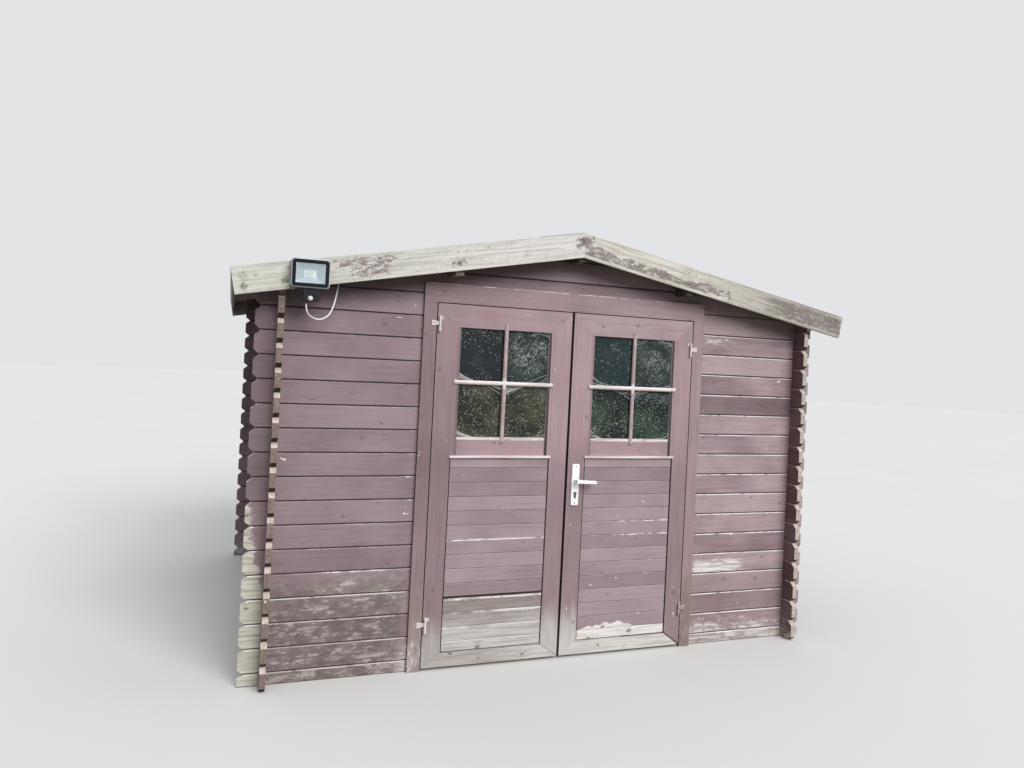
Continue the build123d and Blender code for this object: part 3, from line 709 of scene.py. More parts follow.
def panel_finish(side):
    finish = Finish(f"paint_{side}_panel")
    x, y, z = finish.at
    facing_y, facing_z = finish.facing[1:]
    row = use(board_rows, {"Across": z, "First": panel_first, "Pitch": panel_pitch})
    drawn_out = point(x, 0.0, times(z, 3.0))
    if side == "left":
        broken = noise(drawn_out, 13.0, 4.0, 0.6)
        rot = times(below(z, panel_joints[4]), fade(z, 0.34, 0.14, 0.7, 1.0))
        reached = plus(row["Above"], times(broken, 0.032))
        crest = times(fade(reached, panel_pitch + 0.002, panel_pitch + 0.009),
                      fade(noise(finish.place, 7.0), 0.44, 0.56), fade(z, 0.12, 0.30, 0.3, 0.9))
        slipped_edge = times(near(z, slipped_top, 0.0065), fade(broken, 0.34, 0.46))
        chipped = times(near(z, panel_joints[8], 0.007), fade(broken, 0.36, 0.5))
        crest = most(crest, slipped_edge, chipped)
        lighter = fade(z, 0.33, 0.15)
        pale = lay(mix(lighter, tint(152, 142, 140), tint(204, 198, 195)), tint(236, 230, 226), crest)
        grey = lay(mix(lighter, tint(126, 115, 113), tint(172, 165, 162)), tint(216, 209, 205), crest)
        slot = near(z, slot_middle, 0.0085)
    else:
        broken = noise(drawn_out, 17.0, 4.0, 0.6)
        crept = times(near(x, 0.30, 0.19), plus(ragged(finish.place, 22.0, 0.06, 5.0), 0.026))
        rot = fade(less(z, crept), panel_joints[1] + 0.0021, panel_joints[1] - 0.0009)
        chipped = times(fade(x, 0.22, 0.42), fade(broken, 0.46, 0.56),
                        most(near(z, panel_joints[8], 0.006), near(z, panel_joints[9], 0.006)))
        pale, grey, slot = tint(236, 233, 230), tint(206, 199, 196), 0.0
    # Painted shade: soot on the faces that look down and on the sunk faces of the open joints round the
    # panel. The slot is a dark gap.
    sunk = times(above(y, leaf_front + 0.012), below(facing_y, 0.5))
    amount = plus(0.22, times(rot, 0.5), times(fade(facing_z, 0.3, 0.6), 0.12), times(chipped, 0.5))
    grime_and_shade = most(slot, times(fade(facing_z, -0.3, -0.6), 0.6), times(sunk, 0.9))
    return timber(finish, x, z, y, row["Board"], row["Tone"], tint(164, 146, 152), tint(138, 118, 123),
                  amount, inside=above(facing_y, 0.5), grime_and_shade=grime_and_shade, pale=pale, grey=grey, knots=0.4)


panel_paint = {side: panel_finish(side) for side in leaf_edges}
print("panel finishes", len(panel_paint))

# %% [markdown]
# The casing is darker on the left than on the right. Its feet are damp and
# brown-grey, and the paint has chipped white along the top edge of the head.

# %% Casing materials
lining_face = -1.172
head_top = 1.935


def casing_finish(name, standing):
    finish = Finish(name)
    x, y, z = finish.at
    run, across = (z, x) if standing else (x, z)
    from_left = fade(x, -0.9, 0.9, 0.0 if standing else 0.4)
    height = plus(z, times(noise(finish.place, 5.0), 0.3))
    damp = fade(height, 0.62, 0.42)
    flaked = times(fade(x, 0.815, 0.85), near(z, 0.43, 0.16))
    broken = fade(noise(finish.place, 16.0, 4.0, 0.6), 0.42, 0.54)
    rim = times(fade(z, head_top - 0.0035, head_top - 0.0005), broken, near(x, -0.12, 0.9))
    amount = plus(0.22, times(fade(height, 0.5, 0.2), blend(from_left, 0.25, 0.12)),
                  times(flaked, 0.3), times(rim, 0.5))
    paint = mix(from_left, tint(144, 121, 124), tint(168, 144, 147))
    paint = lay(paint, mix(from_left, tint(158, 140, 137), tint(142, 123, 120)), damp)
    shade = mix(from_left, tint(118, 96, 99), tint(140, 117, 120))
    shade = lay(shade, mix(from_left, tint(132, 114, 111), tint(118, 100, 97)), damp)
    # The faces that look left get soot as painted shade.
    return timber(finish, run, across, y, above(x, 0.0), 0.5, paint, shade, amount, 0.6,
                  above(y, lining_face), times(below(finish.facing[0], -0.5), 0.8))


jamb_paint = casing_finish("paint_jambs", True)
head_paint = casing_finish("paint_head", False)
print("casing finishes", jamb_paint.name, head_paint.name)

# %% [markdown]
# ## Peeled trim
# The ledges over the panels and the level bars of the windows catch all the
# rain. Their paint is nearly gone and the wood has bleached white. The upright
# bars still have most of theirs.

# %% Trim materials
bar_up = 1.445


def trim_finish(name, crossed):
    finish = Finish(name)
    x, y, z = finish.at
    run, across, amount = x, z, 0.72
    if crossed:
        lies = near(z, bar_up, 0.035)
        run, across, amount = blend(lies, z, x), blend(lies, x, z), blend(lies, 0.36, 0.66)
    return timber(finish, run, across, y, paint=tint(186, 161, 163), shade=tint(158, 134, 136),
                  amount=amount, specks=0.4, pale=tint(240, 230, 228), grey=tint(204, 190, 188))


bar_paint = trim_finish("paint_glazing_bars", True)
ledge_paint = trim_finish("paint_ledges", False)
print("trim finishes", bar_paint.name, ledge_paint.name)

# %% [markdown]
# ## Barge boards
# These boards take the weather of every season. The left one has bleached to
# cream, with a stretch of the old brown paint left beside the lamp and a few
# dark knots. The right one is grey with a green bloom of mildew, and has kept
# its paint along the lower edge and at its low end. Black specks of mould sit
# on both. The grain follows the slope, so the place across the board is the
# height with the slope taken off.

# %% Barge materials
barge_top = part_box("front_barge_left")[1][2]
barge_tall = 0.125
mildew = tint(136, 138, 104)
barge_knots = (
    (-1.66, 1.876, 0.028, 0.25),
    (-1.655, 1.835, 0.024, 0.5),
    (-1.48, 1.878, 0.024, 0.5),
    (-0.668, 2.030, 0.020, 0.72),
    (-0.648, 2.044, 0.013, 0.5),
    (-0.32, 2.105, 0.024, 0.2),
    (0.0, 2.205, 0.024, 0.55),
)


def spot(finish, x, z, size):
    """One in the middle of a knot, nothing past its size."""
    flat = point(finish.at[0], 0.0, finish.at[2])
    reach = add("VectorMath", {0: flat, 1: (x, 0.0, z)}, operation="DISTANCE").outputs["Value"]
    return fade(plus(reach, ragged(finish.place, 60.0, size * 2.4, 4.0, 0.7)), size, size * 0.3)


def barge_finish(side):
    finish = Finish(f"paint_{side}_barge")
    x, y, z = finish.at
    out = away(x)
    across = plus(z, times(out, slope))
    down = less(barge_top, across)
    frayed = ragged(finish.place, 7.0, 0.4)
    place = plus(out, frayed)
    crown = times(fade(out, 0.07, 0.03), fade(plus(down, times(frayed, 0.2)), 0.10, 0.07))
    knots = 0.0
    if side == "left":
        kept = times(fade(place, 0.88, 0.98), fade(place, 1.30, 1.20))
        amount = blend(most(kept, crown), 0.76, 0.47)
        spread = fade(out, 0.1, 1.2)
        pale = mix(spread, tint(226, 222, 218), tint(216, 215, 205))
        grey = mix(spread, tint(196, 191, 186), tint(186, 184, 173))
        paint, shade = tint(142, 126, 129), tint(112, 95, 98)
        for knot_x, knot_z, size, strength in barge_knots:
            knots = plus(knots, times(spot(finish, knot_x, knot_z, size), strength))
    else:
        low_half = fade(plus(down, times(frayed, 0.25)), 0.05, 0.08)
        lower_edge = times(low_half, fade(out, 1.0, 0.8), fade(noise(finish.place, 5.0), 0.28, 0.40))
        amount = blend(most(fade(place, 1.10, 1.30), lower_edge, crown), 0.68, 0.43)
        spread = fade(out, 0.75, 1.3)
        green = times(fade(noise(finish.place, 11.0, 4.0), 0.4, 0.62), fade(out, 0.1, 0.7))
        pale = lay(mix(spread, tint(222, 218, 209), tint(190, 184, 176)), mildew, green, 0.22)
        grey = lay(mix(spread, tint(188, 182, 172), tint(146, 139, 131)), mildew, green, 0.2)
        paint, shade = tint(134, 121, 118), tint(106, 93, 90)
    crumbs, colour = cells(finish.place, 120.0)
    gathered = noise(finish.place, 7.0)
    mould = times(fade(crumbs, 0.42, 0.2), above(plus(parts(colour)[0], gathered), 1.26),
                  fade(out, 1.6, 1.2, 0.3, 1.0))
    rim = most(fade(out, 1.693, 1.703), fade(down, 0.022, 0.012),
               fade(down, barge_tall - 0.017, barge_tall - 0.009))
    amount = plus(amount, times(fade(finish.facing[2], 0.5, 0.9), 0.2), times(rim, 0.24))
    return timber(finish, x, across, y, 0.0 if side == "left" else 3.0, 0.5, paint, shade, amount, 0.55,
                  grime_and_shade=most(knots, times(mould, 0.45)), pale=pale, grey=grey, flake=1.8)


barge_left, barge_right = barge_finish("left"), barge_finish("right")
print("barge finishes", barge_left.name, barge_right.name)

# %% [markdown]
# ## Unpainted timber
# Roof boards, purlins, joists, the floor and the glazing beads inside are plain
# pine that has yellowed in the dark. Only the parts that stand outside the
# walls have greyed, with the joists and the floor a little, and the purlin ends
# under the ridge and on the right are darkened nearly to black with painted shade.

# %% Raw materials
def raw_finish(name, run_axis, across_axis, pitch=None, worn=0.0, end_shade=0.0):
    finish = Finish(name)
    axes = dict(zip("xyz", finish.at))
    run, across = axes.pop(run_axis), axes.pop(across_axis)
    (depth,) = axes.values()
    board, tone = 0.0, 0.5
    if pitch:
        row = use(board_rows, {"Across": across, "First": 0.0, "Pitch": pitch})
        board, tone = row["Board"], row["Tone"]
    grain = use(pine, {"Along": run, "Across": across, "Depth": depth, "Board": board})
    outside = less(1.0, indoors(finish))
    level = plus(fade(grain["Streak"], 0.28, 0.66, 0.1, 0.75), fade(grain["Hair"], 0.55, 0.35, 0.0, -0.15))
    level = reckon("MULTIPLY_ADD", tone, 0.25, level)
    greyed = mix(level, tint(92, 80, 70), tint(140, 127, 114))
    colour = lay(mix(level, raw_streak, raw_pine), greyed, most(outside, worn))
    colour = lay(colour, knot_brown, grain["Knot"], 0.8)
    # Painted shade, nearly black, on the outside ends right of the left purlin.
    colour = lay(colour, soot_and_shade, outside, above(finish.at[0], -0.3), end_shade)
    return finish.shade(colour, fade(grain["Hair"], 0.3, 0.7, 0.7, 0.85), grain["Height"], 0.001, 0.5)


board_wide = 0.096
roof_wood = raw_finish("pine_roof_boards", "y", "x", board_wide)
beam_wood = raw_finish("pine_purlins", "y", "z", end_shade=0.8)
joist_wood = raw_finish("pine_joists", "y", "z", worn=0.6)
floor_wood = raw_finish("pine_floor", "y", "x", board_wide, worn=0.35)
bead_wood = raw_finish("pine_beads", "z", "x")
print("raw finishes ready")

# %% [markdown]
# ## Felt
# Mineral felt is bitumen with crushed slate on it: dark grey grit with paler
# grains, and slow patches of dust.

# %% Felt material
finish = Finish("felt_grit")
distance, colour = cells(finish.place, 620.0)
dust = noise(finish.place, 4.0, 4.0)
shade = mix(fade(parts(colour)[0], 0.2, 1.0), tint(44, 46, 48), tint(112, 114, 112))
shade = lay(shade, tint(124, 122, 112), fade(dust, 0.45, 0.75, 0.0, 0.35))
felt_grit = finish.shade(shade, 0.95, plus(distance, times(dust, 0.6)), 0.0008, 0.7)
print("felt", felt_grit.name)

# %% [markdown]
# ## Glass, metal and plastic
# The handle and the lock are metal, the reflector is polished sheet, and the
# sensor, the glands and the cable are plastic. They differ only in two colours,
# in how rough and how metallic they are, and in how large their patches are, so
# one function makes them all. A second one makes the two kinds of glass, clear
# window glass with a faint green tint and the lamp's.

# %% Hard finishes
def hard_finish(name, colour, second, roughness, metallic=0.0, scale=30.0, bump=0.0003, **constants):
    finish = Finish(name, Metallic=metallic, **constants)
    patches = noise(finish.place, scale, 5.0, 0.6)
    height = plus(patches, times(noise(finish.place, 600.0, 2.0), 0.3))
    rough = fade(patches, 0.3, 0.7, roughness, min(1.0, roughness + 0.15))
    return finish.shade(mix(fade(patches, 0.35, 0.7), colour, second), rough, height, bump, 0.4)


def glass_finish(name, colour, scale, clear, smeared, **constants):
    finish = Finish(name, Transmission_Weight=1.0, IOR=1.45, **constants)
    return finish.shade(colour, fade(noise(finish.place, scale, 4.0, 0.6), 0.4, 0.75, clear, smeared))


pane_glass = glass_finish("window_pane", tint(206, 220, 214), 18.0, 0.02, 0.08, Specular_IOR_Level=0.3)
lamp_pane = glass_finish("lamp_pane", tint(244, 248, 250), 40.0, 0.05, 0.2)
handle_metal = hard_finish("aluminium_handle", tint(250, 250, 249), tint(240, 239, 238), 0.4, 0.2, 60.0)
lock_metal = hard_finish("dull_lock", tint(96, 94, 92), tint(58, 57, 56), 0.45, 0.7, 90.0)
reflector_metal = hard_finish(
    "reflector_sheet", tint(232, 238, 240), tint(222, 228, 231), 0.42, 0.5, 12.0, 0.00003)
sensor_black = hard_finish(
    "sensor_black", tint(14, 17, 22), tint(26, 30, 35), 0.4, 0.0, 40.0, Specular_IOR_Level=0.2)
gland_grey = hard_finish("gland_plastic", tint(52, 54, 58), tint(68, 70, 74), 0.5, 0.0, 60.0)
cable_sheath = hard_finish("cable_sheath", tint(250, 250, 247), tint(234, 233, 227), 0.42, 0.0, 40.0)
print("glass and hard finishes ready")

# %% [markdown]
# The lamp is powder coated, and its rounded edges carry a pale painted
# highlight. The hinges are steel, painted over with the wall. Most of that paint
# has gone, less of it on the lowest hinge on the right, and a little rust shows.

# %% Coated metal
finish = Finish("lamp_powder_coat", Specular_IOR_Level=0.12)
facing_y = finish.facing[1]
patches = noise(finish.place, 25.0, 5.0, 0.6)
# A pale painted highlight on the rounded edges, between the front and the sides.
rim_highlight = times(fade(facing_y, -0.97, -0.85), fade(facing_y, -0.4, -0.6))
shade = mix(fade(patches, 0.35, 0.7), tint(12, 16, 22), tint(24, 29, 36))
shade = lay(shade, tint(196, 200, 206), rim_highlight, 0.85)
lamp_coat = finish.shade(shade, fade(patches, 0.3, 0.7, 0.38, 0.5), noise(finish.place, 1800.0), 0.0002, 0.4)

finish = Finish("painted_hinge_steel")
x, y, z = finish.at
low_right = times(above(x, 0.0), below(z, 0.5))
worn = use(worn_paint, {"Place": finish.place, "Amount": blend(low_right, 0.6, 0.48), "Specks": 0.4})
rust = fade(noise(finish.place, 90.0, 5.0, 0.7), 0.58, 0.68)
shade = mix(noise(finish.place, 60.0), tint(150, 128, 130), tint(178, 158, 160))
shade = lay(shade, tint(226, 214, 212), worn["Bare"])
shade = lay(shade, tint(96, 60, 42), rust, 0.7)
hinge_paint = finish.shade(shade, 0.6, worn["Bare"], 0.0006, 0.6)
print("coated metal ready")

# %% [markdown]
# ## Handing the finishes out
# A carried-over node keeps its mesh and only gets a material in its slot.

# %% Assign
def dress(material, *names):
    for name in names:
        nodes[name].material_slots[0].material = material


dress(wall_front, "front_wall_left", "front_wall_right", "front_gable", "back_wall", "back_gable")
dress(wall_side, "left_side_wall", "right_side_wall", "eaves_boards")
dress(roof_wood, "roof_boards_left", "roof_boards_right")
dress(beam_wood, "ridge_purlin", "side_purlins")
dress(felt_grit, "roof_felt")
dress(joist_wood, "floor_joists")
dress(floor_wood, "floor_boards", "door_sill")
dress(barge_left, "front_barge_left")
dress(barge_right, "front_barge_right", "back_barge_boards")
dress(jamb_paint, "door_jambs")
dress(head_paint, "door_head")
for side in leaf_edges:
    dress(leaf_paint[side], f"{side}_door_frame")
    dress(panel_paint[side], f"{side}_door_panel")
    dress(pane_glass, f"{side}_door_glass")
    dress(bead_wood, f"{side}_door_beads")
    dress(bar_paint, f"{side}_glazing_bars")
    dress(ledge_paint, f"{side}_door_ledge")
    dress(hinge_paint, f"{side}_hinge_barrels")
dress(hinge_paint, "hinge_plates")
dress(handle_metal, "handle_plates", "door_lever")
dress(lock_metal, "lock_cylinder")
dress(lamp_coat, "lamp_housing", "lamp_bracket")
dress(lamp_pane, "lamp_glass")
dress(reflector_metal, "lamp_reflector")
dress(sensor_black, "lamp_sensor")
dress(gland_grey, "cable_glands")
cable_white.data.materials.append(cable_sheath)
print("nodes dressed")

# %% [markdown]
# ## Small pieces
# A piece starts as a bmesh, gets a finish, and rides on the body that carries
# it. Flat faces stay flat and round ones are shaded smooth, split at an angle.

# %% Making pieces
front, back = (0, -1, 0), (0, 1, 0)
rounded = 40


def keep(name, shape, material, body, smooth=None):
    """Turns a bmesh into a piece that rides on a body."""
    data = bpy.data.meshes.new(name)
    shape.to_mesh(data)
    shape.free()
    data.materials.append(material)
    if smooth:
        data.shade_smooth()
        data.set_sharp_from_angle(angle=math.radians(smooth))
    piece = bpy.data.objects.new(name, data)
    scene.collection.objects.link(piece)
    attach(piece, body)
    print(name, len(data.polygons), "faces")


def toward(place, direction):
    """Stands a shape that was made along Z at a place, along a direction."""
    turned = Vector((0, 0, 1)).rotation_difference(Vector(direction)).to_matrix().to_4x4()
    return Matrix.Translation(place) @ turned


def block(shape, size, place):
    """A box of a size, around a place."""
    made = bmesh.ops.create_cube(shape, size=1.0)["verts"]
    bmesh.ops.scale(shape, vec=size, verts=made)
    bmesh.ops.translate(shape, vec=place, verts=made)


def ease(shape, offset):
    """Rounds all edges of a shape a little."""
    bmesh.ops.bevel(shape, geom=shape.edges[:], offset=offset, offset_type="OFFSET", segments=2,
                    profile=0.5, affect="EDGES", material=-1)


def head(shape, place, direction, radius, height, recess=True):
    """A screw or nail head that stands on a surface, its underside sunk a little."""
    made = bmesh.ops.create_cone(
        shape, cap_ends=True, segments=12, radius1=radius, radius2=radius * 0.72, depth=height)
    verts = set(made["verts"])
    if recess:
        faces = {face for vert in verts for face in vert.link_faces}
        top = max(faces, key=lambda face: face.calc_center_median().z)
        bmesh.ops.inset_individual(shape, faces=[top], thickness=radius * 0.36)
        bmesh.ops.translate(shape, verts=top.verts, vec=(0, 0, -height * 0.5))
        verts |= set(top.verts)
    raised = Vector(place) + Vector(direction) * height * 0.35
    bmesh.ops.transform(shape, matrix=toward(raised, direction), verts=list(verts))


print("piece words ready")

# %% [markdown]
# ## Nails and screws
# The barge boards are nailed in pairs over each purlin and at the eaves, and
# the nails have rusted. The hinges and the handle plates are screwed on. One
# small head, a cone with a sunk middle, serves for all of them.

# %% Barge nails
rusty = hard_finish("rusty_nails", tint(86, 66, 56), tint(120, 92, 76), 0.7, 0.3, 200.0)
screw_steel = hard_finish("screw_steel", tint(150, 146, 142), tint(112, 106, 102), 0.4, 0.8, 150.0)

barge_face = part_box("front_barge_left")[0][1]
shape = bmesh.new()
for side in (-1, 1):
    for out in (0.05, 0.635, 0.68, 1.18, 1.47, 1.66):
        for down in (0.032, 0.094):
            up = barge_top - slope * out - down
            for y, direction in ((barge_face, front), (-barge_face, back)):
                head(shape, (side * out, y, up), direction, 0.0035, 0.0014, recess=False)
keep("barge_nails", shape, rusty, "shed", rounded)

# %% Hinge and handle screws
hinge_places = {"left": (-0.7225, -1, (0.229, 1.733)), "right": (0.7405, 1, (0.220, 1.675))}
strap_face = -1.2209
hinge_head = {"radius": 0.0034, "height": 0.0013}
fixed = bmesh.new()
for side, (axis_x, outwards, heights) in hinge_places.items():
    moving = bmesh.new()
    for up in heights:
        for reach in (0.020, 0.035):
            head(fixed, (axis_x + outwards * reach, strap_face, up + 0.0036), front, **hinge_head)
        head(moving, (axis_x - outwards * 0.0145, strap_face, up + 0.0279), front, **hinge_head)
    keep(f"{side}_hinge_screws", moving, screw_steel, f"{side}_door", rounded)
keep("strap_screws", fixed, screw_steel, "shed", rounded)

handle_x = 0.062
plate_low, plate_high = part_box("handle_plates")
shape = bmesh.new()
for up in (plate_low[2] + 0.013, plate_high[2] - 0.013):
    for y, direction in ((plate_low[1], front), (plate_high[1], back)):
        head(shape, (handle_x, y, up), direction, 0.0040, 0.0015)
keep("handle_screws", shape, screw_steel, "right_door", rounded)

# %% [markdown]
# ## Roof felt in sheets
# Felt comes off a roll one metre wide. On each slope a lower sheet runs along
# the eaves, an upper one laps over it, and a narrow strip caps the ridge. Each
# is a grid laid on the slope and made as thick as felt. Noise in the height
# gives the small waves of old felt, and clout nails hold every lower edge.

# %% Felt sheets
felt_low, felt_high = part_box("roof_felt")
felt_front, felt_back = felt_low[1] + 0.001, felt_high[1] - 0.001
felt_long = felt_back - felt_front
ridge_up = felt_high[2]
sheet_thick = 0.0022


def felt_sheet(name, nearest, furthest, lift):
    """A sheet over one slope, or over both where nearest is negative."""
    shape = bmesh.new()
    bmesh.ops.create_grid(shape, x_segments=12, y_segments=44, size=0.5)
    middle, wide = (nearest + furthest) / 2, furthest - nearest
    for vert in shape.verts:
        x = middle + vert.co.x * wide
        y = felt_front + (vert.co.y + 0.5) * felt_long
        wave = waves.noise(Vector((x * 4.0, y * 4.0, lift * 900))) * 0.0007
        vert.co = (x, y, ridge_up - slope * abs(x) + lift + wave)
    bmesh.ops.solidify(shape, geom=shape.faces[:], thickness=-sheet_thick)
    bmesh.ops.recalc_face_normals(shape, faces=shape.faces[:])
    keep(name, shape, felt_grit, "shed")


felt_sheet("felt_upper_left", -0.86, -0.12, 0.0008)
felt_sheet("felt_upper_right", 0.12, 0.86, 0.0008)
felt_sheet("felt_ridge_cap", -0.24, 0.24, 0.0038)

# %% Felt nails
nail_count, nail_margin = 19, 0.03
nail_step = (felt_long - 2 * nail_margin) / (nail_count - 1)
shape = bmesh.new()
for side in (-1, 1):
    tilt = Vector((side * slope, 0, 1)).normalized()
    for out, lift in ((0.228, 0.0066), (0.848, 0.0036), (1.690, 0.0002)):
        for step in range(nail_count):
            y = felt_front + nail_margin + step * nail_step
            head(shape, (side * out, y, ridge_up - slope * out + lift), tilt, 0.0055, 0.0012, recess=False)
keep("felt_nails", shape, screw_steel, "shed", rounded)

# %% [markdown]
# ## The floodlight's small parts
# Four screws hold the glass frame and one on each side holds the bracket. A
# pale chip sits at the bottom of the reflector, fins cool the housing from
# behind, and the sensor has a round white lens low on its front.

# %% Lamp screws
lamp_low, lamp_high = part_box("lamp_housing")
tray_low, tray_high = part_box("lamp_reflector")
lamp_x = (lamp_low[0] + lamp_high[0]) / 2
lamp_up = (tray_low[2] + tray_high[2]) / 2
lamp_face = lamp_low[1]
bracket_half, bracket_y = 0.0305, -1.339

shape = bmesh.new()
for x in (lamp_low[0] + 0.009, lamp_high[0] - 0.009):
    for z in (lamp_up - 0.057, lamp_up + 0.057):
        head(shape, (x, lamp_face, z), front, 0.0032, 0.0014)
for side in (-1, 1):
    head(shape, (lamp_x + side * bracket_half, bracket_y, lamp_up), (side, 0, 0), 0.0050, 0.0040)
keep("lamp_screws", shape, screw_steel, "shed", rounded)

# %% Chip and fins
chip_glow = hard_finish("lamp_chip", tint(240, 240, 230), tint(234, 233, 220), 0.35, 0.0, 300.0)
shape = bmesh.new()
block(shape, (0.030, 0.0012, 0.020), (lamp_x, tray_high[1] - 0.0026, lamp_up))
ease(shape, 0.0004)
keep("lamp_chip", shape, chip_glow, "shed", rounded)

fin_pitch = 0.018
shape = bmesh.new()
for step in (-4, -3, -2, 2, 3, 4):
    block(shape, (0.0022, 0.008, 0.104), (lamp_x + step * fin_pitch, lamp_face + 0.0495, lamp_up))
ease(shape, 0.0005)
keep("lamp_fins", shape, lamp_coat, "shed", rounded)

# %% Sensor lens
sensor_white = hard_finish("sensor_lens", tint(226, 226, 222), tint(206, 206, 200), 0.4, 0.0, 80.0)
box_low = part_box("lamp_sensor")[0]
lens_place = (box_low[0] + 0.032, box_low[1] + 0.0006, box_low[2] + 0.0125)
shape = bmesh.new()
bmesh.ops.create_uvsphere(shape, u_segments=24, v_segments=12, radius=1.0)
bmesh.ops.bisect_plane(shape, geom=shape.verts[:] + shape.edges[:] + shape.faces[:],
                       plane_co=(0, 0, -0.15), plane_no=(0, 0, 1), clear_inner=True)
bmesh.ops.holes_fill(shape, edges=[edge for edge in shape.edges if edge.is_boundary])
bmesh.ops.scale(shape, vec=(0.0115, 0.0115, 0.008), verts=shape.verts[:])
bmesh.ops.transform(shape, matrix=toward(lens_place, front), verts=shape.verts[:])
keep("sensor_lens", shape, sensor_white, "shed", rounded)

# %% [markdown]
# ## Dust on the panes
# Years of dust lie on the glass in clouds, crumbs and fine spun threads. A film
# just in front of each pane carries them in its alpha, so the clear glass
# behind keeps its shine. Under the pale dust the film is dark: painted
# reflections of the garden and painted shade of the dark room behind, olive in
# the lower panes on the left leaf and green on the right one, the upper ones
# blue-grey. Four corners hold sheets of web.

# %% Dust colours and painted reflections
finish = Finish("pane_dust_and_reflection")
x, y, z = finish.at
clouds = noise(finish.place, 9.0, 5.0, 0.65, 0.6)
gathered = noise(finish.place, 11.0)
low_panes = fade(z, bar_up + 0.005, bar_up - 0.015)
on_right = above(x, 0.0)
cloudy = fade(noise(finish.place, 7.0, 2.0), 0.38, 0.62)
# The dark base of the film is painted reflection and painted shade of the room behind: olive below on the
# left leaf, green below on the right one, blue-grey and teal above.
olive_reflection = mix(cloudy, tint(44, 48, 42), tint(86, 88, 64))
green = mix(cloudy, tint(26, 40, 38), tint(58, 78, 62))
teal_reflection = most(near(x, -0.24, 0.13), on_right)
shade = mix(low_panes, mix(teal_reflection, tint(40, 46, 52), tint(44, 60, 62)), mix(on_right, olive_reflection, green))
shade = lay(shade, tint(104, 112, 108), fade(clouds, 0.5, 0.75, 0.0, 0.6), blend(low_panes, 0.5, 0.9))

# %% Crumbs, threads and sheets of web
crumbs, colour = cells(finish.place, 135.0)
share = plus(parts(colour)[0], times(gathered, 1.7), times(low_panes, 0.2))
crumb = times(fade(crumbs, 0.32, 0.16), above(share, 1.66))

spun = noise(point(times(plus(x, z), 0.35), y, less(z, x)), 42.0, 4.0, 0.7, 0.9)
matted = plus(near(x, -0.20, 0.17), times(near(x, 0.52, 0.17), 0.7))
matted = times(fade(z, 1.44, 1.58), matted, fade(gathered, 0.36, 0.56))
thread = times(fade(away(spun, 0.5), 0.034, 0.006), plus(matted, fade(clouds, 0.55, 0.7, 0.0, 0.3)))

# Each sheet: its corner's x and z, and how far it reaches from there.
web_sheets = ((-0.6085, 1.455, 0.085, 0.034), (-0.356, 1.435, 0.12, -0.040),
              (-0.376, 1.435, -0.07, -0.024), (-0.6085, window_low, 0.09, 0.030))
sheets = 0.0
for corner_x, corner_z, reach_x, reach_z in web_sheets:
    past_x = times(less(x, corner_x), 1 / reach_x)
    past_z = times(less(z, corner_z), 1 / reach_z)
    past = plus(past_x, past_z)
    sheet = times(fade(past, 1.08, 0.9), above(past_x, 0.0), above(past_z, 0.0))
    sheets = plus(sheets, times(sheet, fade(past, 0.3, 1.0, 0.12, 0.62)))

film = fade(clouds, 0.36, 0.74, 0.58, 0.72)
low_edge = fade(z, 1.24, 1.17, 0.0, 0.16)
alpha = plus(film, low_edge, times(crumb, 0.6), times(thread, 0.35), sheets)
join(reckon("MINIMUM", alpha, 0.95), finish.shader.inputs["Alpha"])
pale_dust = reckon("MAXIMUM", crumb, most(times(thread, 0.7), sheets), use_clamp=True)
pane_dust_and_reflection = finish.shade(lay(shade, tint(212, 212, 208), pale_dust), 0.95)
print("dust finish", pane_dust_and_reflection.name)

# %% Dust and reflection films
film_face = -1.2044
film_gap = 0.002
middle_z = (window_low + window_high) / 2


def dust_and_reflection_film(side, left, right):
    shape = bmesh.new()
    bmesh.ops.create_grid(shape, x_segments=2, y_segments=2, size=0.5)
    size = (right - left - film_gap, window_high - window_low - film_gap, 1)
    bmesh.ops.scale(shape, vec=size, verts=shape.verts[:])
    upright = Matrix.Rotation(math.pi / 2, 4, "X")
    place = Matrix.Translation(((left + right) / 2, film_face, middle_z))
    bmesh.ops.transform(shape, matrix=place @ upright, verts=shape.verts[:])
    keep(f"{side}_pane_dust_and_reflection", shape, pane_dust_and_reflection, f"{side}_door")


print("films hang at", film_face)

# %% [markdown]
# ## Cobwebs
# The longest threads are real. Each is a bent pair of thin three-sided tubes
# that hangs in a corner of a pane, and a seeded draw gives every one its own
# length and sag.

# %% Cobwebs
web_finish = hard_finish("cobweb", tint(222, 222, 218), tint(200, 200, 194), 0.8, 0.0, 200.0)
web_face = -1.2065
thread_radius = 0.0007
bar_half = 0.012
draw = random.Random(7)


def tube(shape, first, second):
    """A three-sided thread between two points."""
    run = second - first
    made = bmesh.ops.create_cone(shape, cap_ends=True, segments=3, radius1=thread_radius,
                                 radius2=thread_radius, depth=run.length)
    bmesh.ops.transform(shape, matrix=toward((first + second) / 2, run.normalized()), verts=made["verts"])


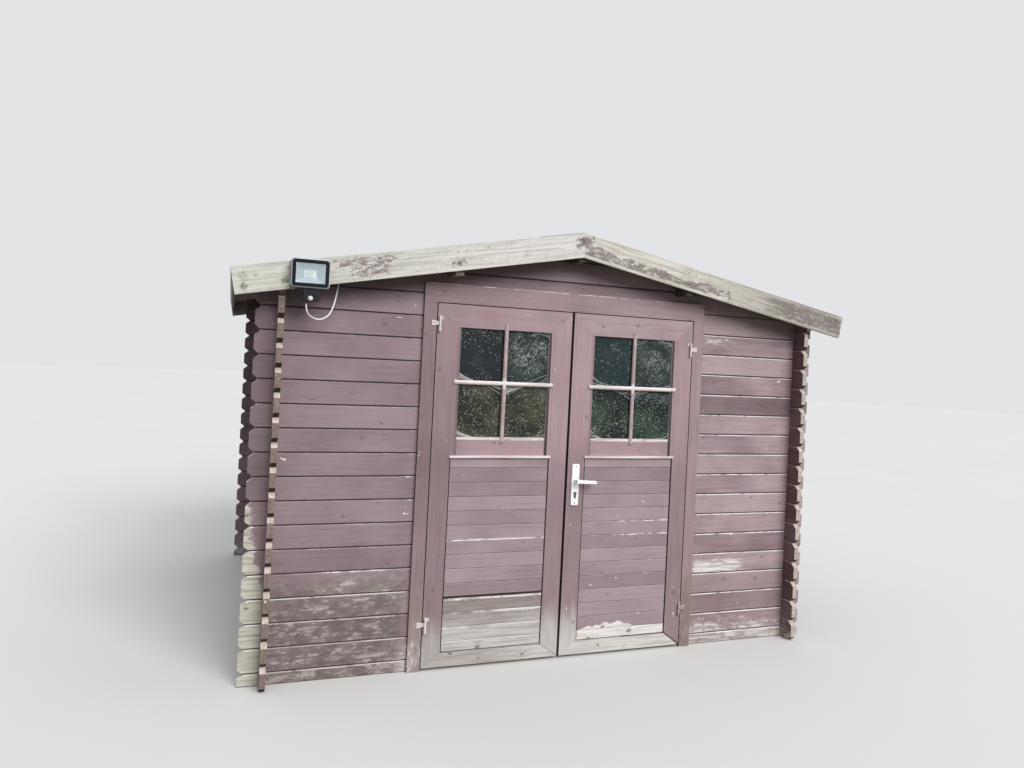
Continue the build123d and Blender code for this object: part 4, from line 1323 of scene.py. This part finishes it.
def cobwebs(side, left, right):
    middle_x = (left + right) / 2
    over_bar, under_bar = middle_z + bar_half, middle_z - bar_half
    # Each corner: its x and z, the ways that lead away from it, and its threads.
    corners = ((left, over_bar, 1, 1, 5), (right, over_bar, -1, 1, 3), (left, window_low, 1, 1, 4),
               (middle_x + bar_half, under_bar, 1, -1, 6), (middle_x - bar_half, under_bar, -1, -1, 3),
               (right, window_high, -1, -1, 3), (right, window_low, -1, 1, 2))
    webs = bmesh.new()
    for corner_x, corner_z, toward_x, toward_z, strands in corners:
        for _ in range(strands):
            start = Vector((corner_x + toward_x * draw.uniform(0.02, 0.11), web_face, corner_z))
            end_at = Vector((corner_x, web_face - draw.uniform(0, 0.006),
                             corner_z + toward_z * draw.uniform(0.01, 0.05)))
            sag = Vector((-toward_x, 0, -toward_z)) * draw.uniform(-0.004, 0.008)
            middle = (start + end_at) / 2 + sag
            tube(webs, start, middle)
            tube(webs, middle, end_at)
    keep(f"{side}_window_webs", webs, web_finish, f"{side}_door")


for side, (leaf_left, leaf_right) in leaf_edges.items():
    left, right = leaf_left + stile + window_infill, leaf_right - stile - window_infill
    dust_and_reflection_film(side, left, right)
    cobwebs(side, left, right)

# %% [markdown]
# ## Floor and sky finishes
# The floor is a plain pale grey to the eye and much darker to bounced light, so
# the wall stays dark under the roof's overhang. The sky lights the shed more
# from above than from the sides, and shows the camera, mirrors and glass an
# even backdrop.

# %% Stage finish
def plain_view(tree):
    """One for the rays of the camera, of mirrors and of glass."""
    rays = put(tree, "LightPath").outputs
    return most(rays["Is Camera Ray"], rays["Is Glossy Ray"], rays["Is Transmission Ray"])


finish = Finish("stage_floor")
pale = mix(noise(finish.place, 0.6), tint(204, 204, 202), tint(210, 210, 208))
shade = mix(plain_view(finish.tree), tint(118, 116, 110), pale)
stage_floor.data.materials.append(finish.shade(shade, 0.9))

world = bpy.data.worlds.new("sky")
scene.world = world
world.use_nodes = True
sky = world.node_tree
background = sky.nodes["Background"]
overhead = parts(put(sky, "TexCoord").outputs["Generated"])[2]
daylight = fade(overhead, 0.0, 0.95, 0.08, 1.35)
join(tint(226, 228, 230), background.inputs["Color"])
join(blend(plain_view(sky), daylight, 1.0), background.inputs["Strength"])
print("sky ready")
